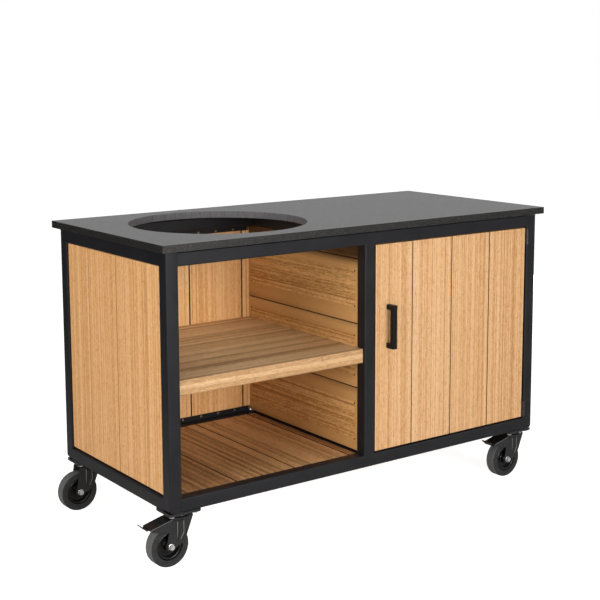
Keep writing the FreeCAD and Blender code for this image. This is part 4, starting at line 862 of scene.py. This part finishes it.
def makeTyre(corner, hub, values):
    mesh = bmesh.new()
    addTurned(mesh, values["profile"], hub, across, values["steps"], {values["shoulder"]: (3, 4)})
    worn = mesh.verts.layers.float.new("tread")
    for spot in mesh.verts:
        away = math.hypot(spot.co.x - hub.x, spot.co.z - hub.z)
        share = (away - values["treadStart"]) / (values["treadEnd"] - values["treadStart"])
        spot[worn] = min(max(share, 0.0), 1.0)
    endPiece(mesh, "wheel_" + corner, "tyre_rubber", "tyre_" + corner, sharp=25)


def makeCore(corner, hub, values):
    mesh = bmesh.new()
    half = values["half"]
    profile = [(radius, -along) for radius, along in half] + list(reversed(half))
    least, beyond = values["beadFrom"]
    crest = [i for i, (radius, along) in enumerate(profile) if radius > least and abs(along) > beyond]
    addTurned(mesh, profile, hub, across, values["steps"], {values["bead"]: crest})
    endPiece(mesh, "wheel_" + corner, "core_plastic", "wheel_core_" + corner, sharp=28)


def makeAxle(corner, hub, values):
    mesh = bmesh.new()
    cheek, cap, flange, height = (values[key] for key in ("cheek", "nutHeight", "flange", "flangeHeight"))
    start = cheek + height * values["capStart"]
    addHexagon(mesh, hub, -cheek - cap, -start, values["nutRadius"], values["chamfer"])
    addHexagon(mesh, hub, start, cheek + cap, values["nutRadius"], values["chamfer"])
    for side in (-1, 1):
        level = side * (cheek + height * values["coneEnd"])
        rim = [(values["bore"], side * cheek), (flange, side * cheek), (flange, side * (cheek + height)),
               (values["nutRadius"] * values["coneTop"], level), (values["bore"], level)]
        addTurned(mesh, rim, hub, across, values["flangeSteps"], {values["flangeEase"]: (1, 2)})
    radius, out, pitch = values["thread"]
    bar = [(values["axis"], cheek), (radius, cheek)]
    turns = int((out + cap) / pitch)
    for i in range(turns):
        level = -cheek - i * pitch
        bar += [(radius, level), (radius - pitch * 0.5, level - pitch * 0.5)]
    bar += [(radius - values["threadEnd"], -cheek - cap - out), (values["axis"], -cheek - cap - out)]
    addTurned(mesh, bar, hub, across, values["threadSteps"])
    endPiece(mesh, "swivel_" + corner, "zinc", "axle_" + corner, sharp=30)


# Pressed fork: folded channel trimmed to its outline, round crown and a flute down each cheek
forkValues = {
    "out": 0.0235,
    "sheet": 0.003,
    "top": 0.146,
    "fold": 0.0042,
    "back": ((-0.0385, 0.146), (-0.984, 0.177)),  # a point of the rear cut and the way out of it
    "outline": ((0.036, 0.146), (0.014, 0.09), (0.0, 0.067), (-0.0345, 0.0508)),
    "trail": 0.04,
    "endRadius": 0.013,
    "endTurn": (-80, -190, 9),  # first and last tangent of the round end, and how many
    "spare": (0.004, 0.002),  # what the channel has past the round end before it is trimmed
    "crown": ((0.011, 0.143), (0.033, 0.143), (0.033, 0.146), (0.0305, 0.1462), (0.0205, 0.1462),
              (0.011, 0.1462)),
    "crownEase": 0.0011,
    "crownSteps": 64,
    "flute": ((-0.021, 0.137), (0.004, 0.137), (0.0045, 0.099), (-0.007, 0.078), (-0.0225, 0.0765)),
    "fluteRounds": {0.004: (2, 3), 0.0025: (0, 1, 4)},
    "fluteHeight": 0.0019,
    "fluteRoot": 0.0008,
    "fluteSlope": 0.95,  # in its heights
    "fluteEase": 0.0001,
    "rub": 0.0022,  # width of the painted highlight inside the flute's edge
    "rubEnd": 0.002,  # the line stops this far from the flute's ends
    "ease": 0.0005,
}


def makeFork(corner, swivel, hub, values):
    mesh = bmesh.new()
    out, sheet, top = values["out"], values["sheet"], values["top"]
    inner, ceiling = out - sheet, top - sheet
    spareX, spareZ = values["spare"]
    low = hub.z - values["endRadius"] - spareZ
    left = -values["trail"] - values["endRadius"] - spareX
    section = [(-out, low), (-out, top), (out, top), (out, low), (inner, low), (inner, ceiling),
               (-inner, ceiling), (-inner, low)]
    corners = [mesh.verts.new((swivel.x + left, swivel.y + y, z)) for y, z in section]
    mesh.faces.new(corners)
    roundCorners(mesh, corners, {values["fold"]: (1, 2), values["fold"] - sheet: (5, 6)}, 5)
    raiseFaces(mesh, list(mesh.faces), (values["outline"][0][0] - left, 0, 0))
    cuts = [values["back"]]
    for (x, z), (nextX, nextZ) in zip(values["outline"], values["outline"][1:]):
        cuts.append(((x, z), (z - nextZ, nextX - x)))
    first, last, count = values["endTurn"]
    for i in range(count):
        turn = math.radians(first + (last - first) * i / (count - 1))
        outward = Vector((math.cos(turn), math.sin(turn))) * values["endRadius"]
        cuts.append(((outward.x - values["trail"], outward.y + hub.z), tuple(outward)))
    for (x, z), (outX, outZ) in cuts:
        outward = Vector((outX, 0, outZ)).normalized()
        bmesh.ops.bisect_plane(mesh, geom=[*mesh.verts, *mesh.edges, *mesh.faces], dist=1e-7,
                               clear_outer=True, plane_co=(swivel.x + x, 0, z), plane_no=outward)
        bmesh.ops.holes_fill(mesh, edges=[edge for edge in mesh.edges if edge.is_boundary], sides=0)
    bmesh.ops.recalc_face_normals(mesh, faces=mesh.faces)
    rims = [edge for edge in mesh.edges if edge.calc_face_angle(0) > math.radians(40)]
    bevelEdges(mesh, rims, values["ease"])
    addTurned(mesh, values["crown"], swivel, upward, values["crownSteps"], {values["crownEase"]: (1, 2)})
    flute = [(swivel.x + x, z) for x, z in values["flute"]]
    height, end = values["fluteHeight"], values["rubEnd"]
    # Painted highlight along each flute's edge
    rubbed = mesh.verts.layers.float.new("rubbed")
    for side in (-1, 1):
        old = set(mesh.verts)
        root, face = swivel.y + side * (out - values["fluteRoot"]), swivel.y + side * (out + height)
        addSheet(mesh, flute, *sorted((root, face)), values["fluteEase"], values["fluteRounds"],
                 (face, height * values["fluteSlope"], lambda edge: True))
        for spot in frameFace(mesh, old, face, values["rub"])[0]:
            spot[rubbed] = float(flute[3][1] + end < spot.co.z < flute[0][1] - end)
    endPiece(mesh, "swivel_" + corner, "caster_black", "fork_" + corner, sharp=32)


# Ball ring between plate and crown, with a lip against dust
ringValues = {
    "profile": ((0.022, 0.1464), (0.0296, 0.1464), (0.0302, 0.1478), (0.0284, 0.1492), (0.0284, 0.1508),
                (0.03, 0.1522), (0.0298, 0.1539), (0.022, 0.1539)),
    "steps": 72,
}


def makeRings(values):
    mesh = bmesh.new()
    for low, high in solidBoxes("caster_rings"):
        centre = Vector(((low.x + high.x) / 2, (low.y + high.y) / 2, 0))
        addTurned(mesh, values["profile"], centre, upward, values["steps"])
    endPiece(mesh, "table", "zinc", "caster_rings", name="ballRings", sharp=60)


# Brake pedal: folded cover with two cheeks, a riveted shoe and a toe that turns up
pedalValues = {
    "out": 0.0258,
    "sheet": 0.002,
    "start": (-0.041, 0.1425),
    "end": (-0.104, 0.127),
    "lip": 0.006,
    "bend": 0.0018,  # the turn from the cover into its lip
    "skirt": (-0.049, 0.1055),
    "skirtRound": 0.004,
    "pin": (-0.03, 0.134),
    "eye": 0.008,
    "eyeRound": 0.005,
    "fold": 0.0019,
    "ease": 0.0003,
    "shoe": ((-0.044, 0.1405), (-0.056, 0.1375), (-0.056, 0.128), (-0.044, 0.128)),
    "shoeHalf": 0.012,
    "shoeEase": 0.001,
    "toe": ((-0.1028, 0.1268), (-0.112, 0.1268), (-0.13, 0.14), (-0.13, 0.1372), (-0.113, 0.1218),
            (-0.1028, 0.1218)),
    "toeHalf": 0.013,
    "toeEase": 0.0004,
    "rub": 0.8,
    "rubWidth": 0.0015,
    "rubReach": (0.0017, 0.0024),  # how near to the cover's side and top
    "rivets": ((-0.052, -0.007), (-0.052, 0.007), (-0.092, 0.0)),
    "rivetRadius": 0.0028,
    "rivetSides": (16, 8),
    "rivetHeight": 0.45,  # in its radii
    "pinRadius": 0.004,
    "pinSteps": 32,
    "pinHead": (0.0052, 0.006, 0.0012, 0.002),  # radii of its end and its rim, heights of its ease and whole
}


def makePedal(corner, swivel, values):
    mesh = bmesh.new()
    rubbed = mesh.verts.layers.float.new("rubbed")
    out, sheet, lip, ease = (values[key] for key in ("out", "sheet", "lip", "ease"))
    (startX, startZ), (endX, endZ), (pinX, pinZ) = (values[key] for key in ("start", "end", "pin"))
    eye = values["eye"]

    def placed(points):
        return [(swivel.x + x, z) for x, z in points]

    cover = placed([(startX, startZ), (endX, endZ), (endX, endZ - lip), (endX + sheet, endZ - lip),
                    (endX + sheet, endZ - sheet * 0.9), (startX, startZ - sheet)])
    addSheet(mesh, cover, swivel.y - out + sheet, swivel.y + out - sheet, ease, {values["bend"]: (1,)})
    cheek = placed([(startX, startZ), (endX, endZ), (endX, endZ - lip), values["skirt"],
                    (pinX + eye, pinZ - eye / 2), (pinX + eye, pinZ + eye), (pinX, pinZ + eye)])
    rounds = {values["bend"]: (1,), values["skirtRound"]: (3,), values["eyeRound"]: (5,)}

    def onSlope(edge):  # where the cover is folded down into the cheek
        lowest = min(corner.co.z for corner in edge.verts)
        return lengthOf(edge, 0) > 0.03 and lengthOf(edge, 2) > 0.01 and lowest > endZ - 0.002

    flats = set()
    for side in (-1, 1):
        old = set(mesh.verts)
        outer = swivel.y + side * out
        low, high = sorted((outer, outer - side * sheet))
        addSheet(mesh, cheek, low, high, ease, rounds, (outer, values["fold"], onSlope))
        flats.update(frameFace(mesh, old, outer, values["rubWidth"])[1])
    for key in ("shoe", "toe"):
        half = values[key + "Half"]
        addSheet(mesh, placed(values[key]), swivel.y - half, swivel.y + half, values[key + "Ease"])
    slope = Vector((startX - endX, 0, startZ - endZ)).normalized()
    flat = Matrix.Diagonal((1, 1, values["rivetHeight"], 1))
    around, over = values["rivetSides"]
    for x, y in values["rivets"]:
        level = startZ + (x - startX) * slope.z / slope.x
        tilt = slope.rotation_difference(Vector((1, 0, 0))).inverted().to_matrix().to_4x4()
        seat = Matrix.Translation((swivel.x + x, swivel.y + y, level)) @ tilt
        bmesh.ops.create_uvsphere(mesh, u_segments=around, v_segments=over, radius=values["rivetRadius"],
                                  matrix=seat @ flat)
    # Painted highlight along the cover's folded sides
    besideSide, besideTop = values["rubReach"]
    for spot in mesh.verts:
        level = startZ + (spot.co.x - swivel.x - startX) * slope.z / slope.x
        beside = abs(spot.co.y - swivel.y) > out - besideSide and abs(spot.co.z - level) < besideTop
        if beside and spot not in flats:
            spot[rubbed] = values["rub"]
    endPiece(mesh, "brake_" + corner, "caster_black", "pedal_" + corner, sharp=32)
    makePin(corner, Vector((swivel.x + pinX, swivel.y, pinZ)), values)


def makePin(corner, centre, values):
    mesh = bmesh.new()
    low, high = (end.y - centre.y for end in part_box("pedal_pin_" + corner))
    radius = values["pinRadius"]
    tip, rim, eased, head = values["pinHead"]
    half = [(axleValues["axis"], 0), (tip, 0), (rim, eased), (rim, head), (radius, head)]
    profile = [(wide, low + along) for wide, along in half]
    profile += [(wide, high - along) for wide, along in reversed(half)]
    addTurned(mesh, profile, centre, across, values["pinSteps"])
    endPiece(mesh, "swivel_" + corner, "caster_black", "pedal_pin_" + corner, sharp=30)


makeRings(ringValues)
for corner in ("front_left", "front_right", "rear_left", "rear_right"):
    treadLow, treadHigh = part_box("tyre_" + corner)
    hub = (treadLow + treadHigh) / 2
    hub.x = sum(end.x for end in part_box("axle_" + corner)) / 2
    swivel = Vector((hub.x + forkValues["trail"], hub.y, 0))
    makeTyre(corner, hub, tyreValues)
    makeCore(corner, hub, coreValues)
    makeAxle(corner, hub, axleValues)
    makeFork(corner, swivel, hub, forkValues)
    if "pedal_" + corner in nodes:
        makePedal(corner, swivel, pedalValues)
print("casters built")


# Pale floor, white surroundings and soft lamps
stageValues = {
    "floorSize": 40.0,
    "floor": (0.88, 0.88, 0.88, 1),
    "cloud": (3.0, 0.995),  # scale and tone of its faint clouds
    "floorLift": (0.84, 1.0),  # the background's own white near and far, for the camera alone
    "floorReach": (1.2, 3.0),
    "ambient": 0.06,
    "card": ((-1.35, 1.1, 0.75), 1.7, 1.0),  # dark card that only reflections in the left side see
    "cardColour": (0.01, 0.01, 0.01, 1),
    "lamps": (
        # name, place, aims at, width, height, watts, colour
        ("keyLamp", (0.1, -5.2, 1.25), (0, 0, 0.5), 2.4, 1.8, 138, (1, 0.985, 0.96)),
        ("leftLamp", (-2.6, -4.6, 1.8), (0, 0, 0.5), 2.0, 1.6, 57, (1, 0.985, 0.96)),
        ("fillLamp", (-4.2, -1.2, 1.6), (-0.4, 0, 0.5), 2.0, 1.6, 88, (1, 0.97, 0.93)),
        ("sideLamp", (-4.2, 0.3, 0.9), (-0.4, 0, 0.5), 1.6, 1.2, 15, (1, 0.97, 0.93)),
        ("topLamp", (-0.1, -0.6, 3.4), (-0.2, 0, 0), 2.6, 2.0, 25, (1, 1, 1)),
        ("rightLamp", (4.0, 2.3, 0.5), (0.6, 0.1, 0.45), 1.8, 0.8, 70, (1, 0.985, 0.96)),
    ),
}


def makeStage(values):
    floorMaterial, tree, place = startMaterial("paleFloor")
    scale, tone = values["cloud"]
    clouded = tuple(part * tone for part in values["floor"])
    colour = blendColours(tree, noise(tree, place, scale), values["floor"], clouded)
    matte = addShader(tree, "BsdfDiffuse", {"Color": colour}).outputs[0]
    seen = addShader(tree, "LightPath").outputs["Is Camera Ray"]
    white = remap(tree, distance(tree, place), *values["floorReach"], *values["floorLift"], True)
    lift = addShader(tree, "Emission", {"Strength": calc(tree, "MULTIPLY", seen, white)})
    whole = addShader(tree, "AddShader", {0: matte, 1: lift.outputs[0]}).outputs[0]
    addShader(tree, "OutputMaterial", {"Surface": whole})
    mesh = bmesh.new()
    bmesh.ops.create_grid(mesh, x_segments=2, y_segments=2, size=values["floorSize"] / 2)
    ground = addObject("paleFloor", mesh, floorMaterial)
    cardMaterial, tree, place = startMaterial("darkCard")
    dull = addShader(tree, "BsdfDiffuse", {"Color": values["cardColour"]}).outputs[0]
    addShader(tree, "OutputMaterial", {"Surface": dull})
    centre, halfDepth, halfHeight = values["card"]
    mesh = bmesh.new()
    turn = Matrix.Translation(centre) @ Matrix.Rotation(math.radians(90), 4, "Y")
    bmesh.ops.create_grid(mesh, x_segments=1, y_segments=1, size=1,
                          matrix=turn @ Matrix.Diagonal((halfHeight, halfDepth, 1, 1)))
    card = addObject("darkCard", mesh, cardMaterial)
    card.visible_camera = card.visible_diffuse = card.visible_shadow = False


def makeWorld(ambient):  # white to the camera and to reflections, dim as a light
    world = bpy.data.worlds.new("whiteRoom")
    scene.world = world
    world.use_nodes = True
    tree = world.node_tree
    tree.nodes.clear()
    path = addShader(tree, "LightPath").outputs
    mirrored = calc(tree, "MAXIMUM", path["Is Glossy Ray"], path["Is Transmission Ray"])
    shown = calc(tree, "MAXIMUM", path["Is Camera Ray"], mirrored)
    strength = remap(tree, shown, 0.0, 1.0, ambient, 1.0)
    sky = addShader(tree, "Background", {"Color": (1, 1, 1, 1), "Strength": strength})
    addShader(tree, "OutputWorld", {"Surface": sky.outputs[0]})


def addLamps(lamps):
    for name, place, aim, width, height, watts, colour in lamps:
        lamp = bpy.data.lights.new(name, "AREA")
        lamp.shape = "RECTANGLE"
        lamp.size, lamp.size_y = width, height
        lamp.energy = watts
        lamp.color = colour
        holder = bpy.data.objects.new(name, lamp)
        holder.location = place
        holder.rotation_mode = "QUATERNION"
        holder.rotation_quaternion = (Vector(aim) - Vector(place)).to_track_quat("-Z", "Y")
        holder.visible_camera = False
        scene.collection.objects.link(holder)


makeStage(stageValues)
makeWorld(stageValues["ambient"])
addLamps(stageValues["lamps"])
scene.view_settings.view_transform = "Standard"
print("stage and lamps made")
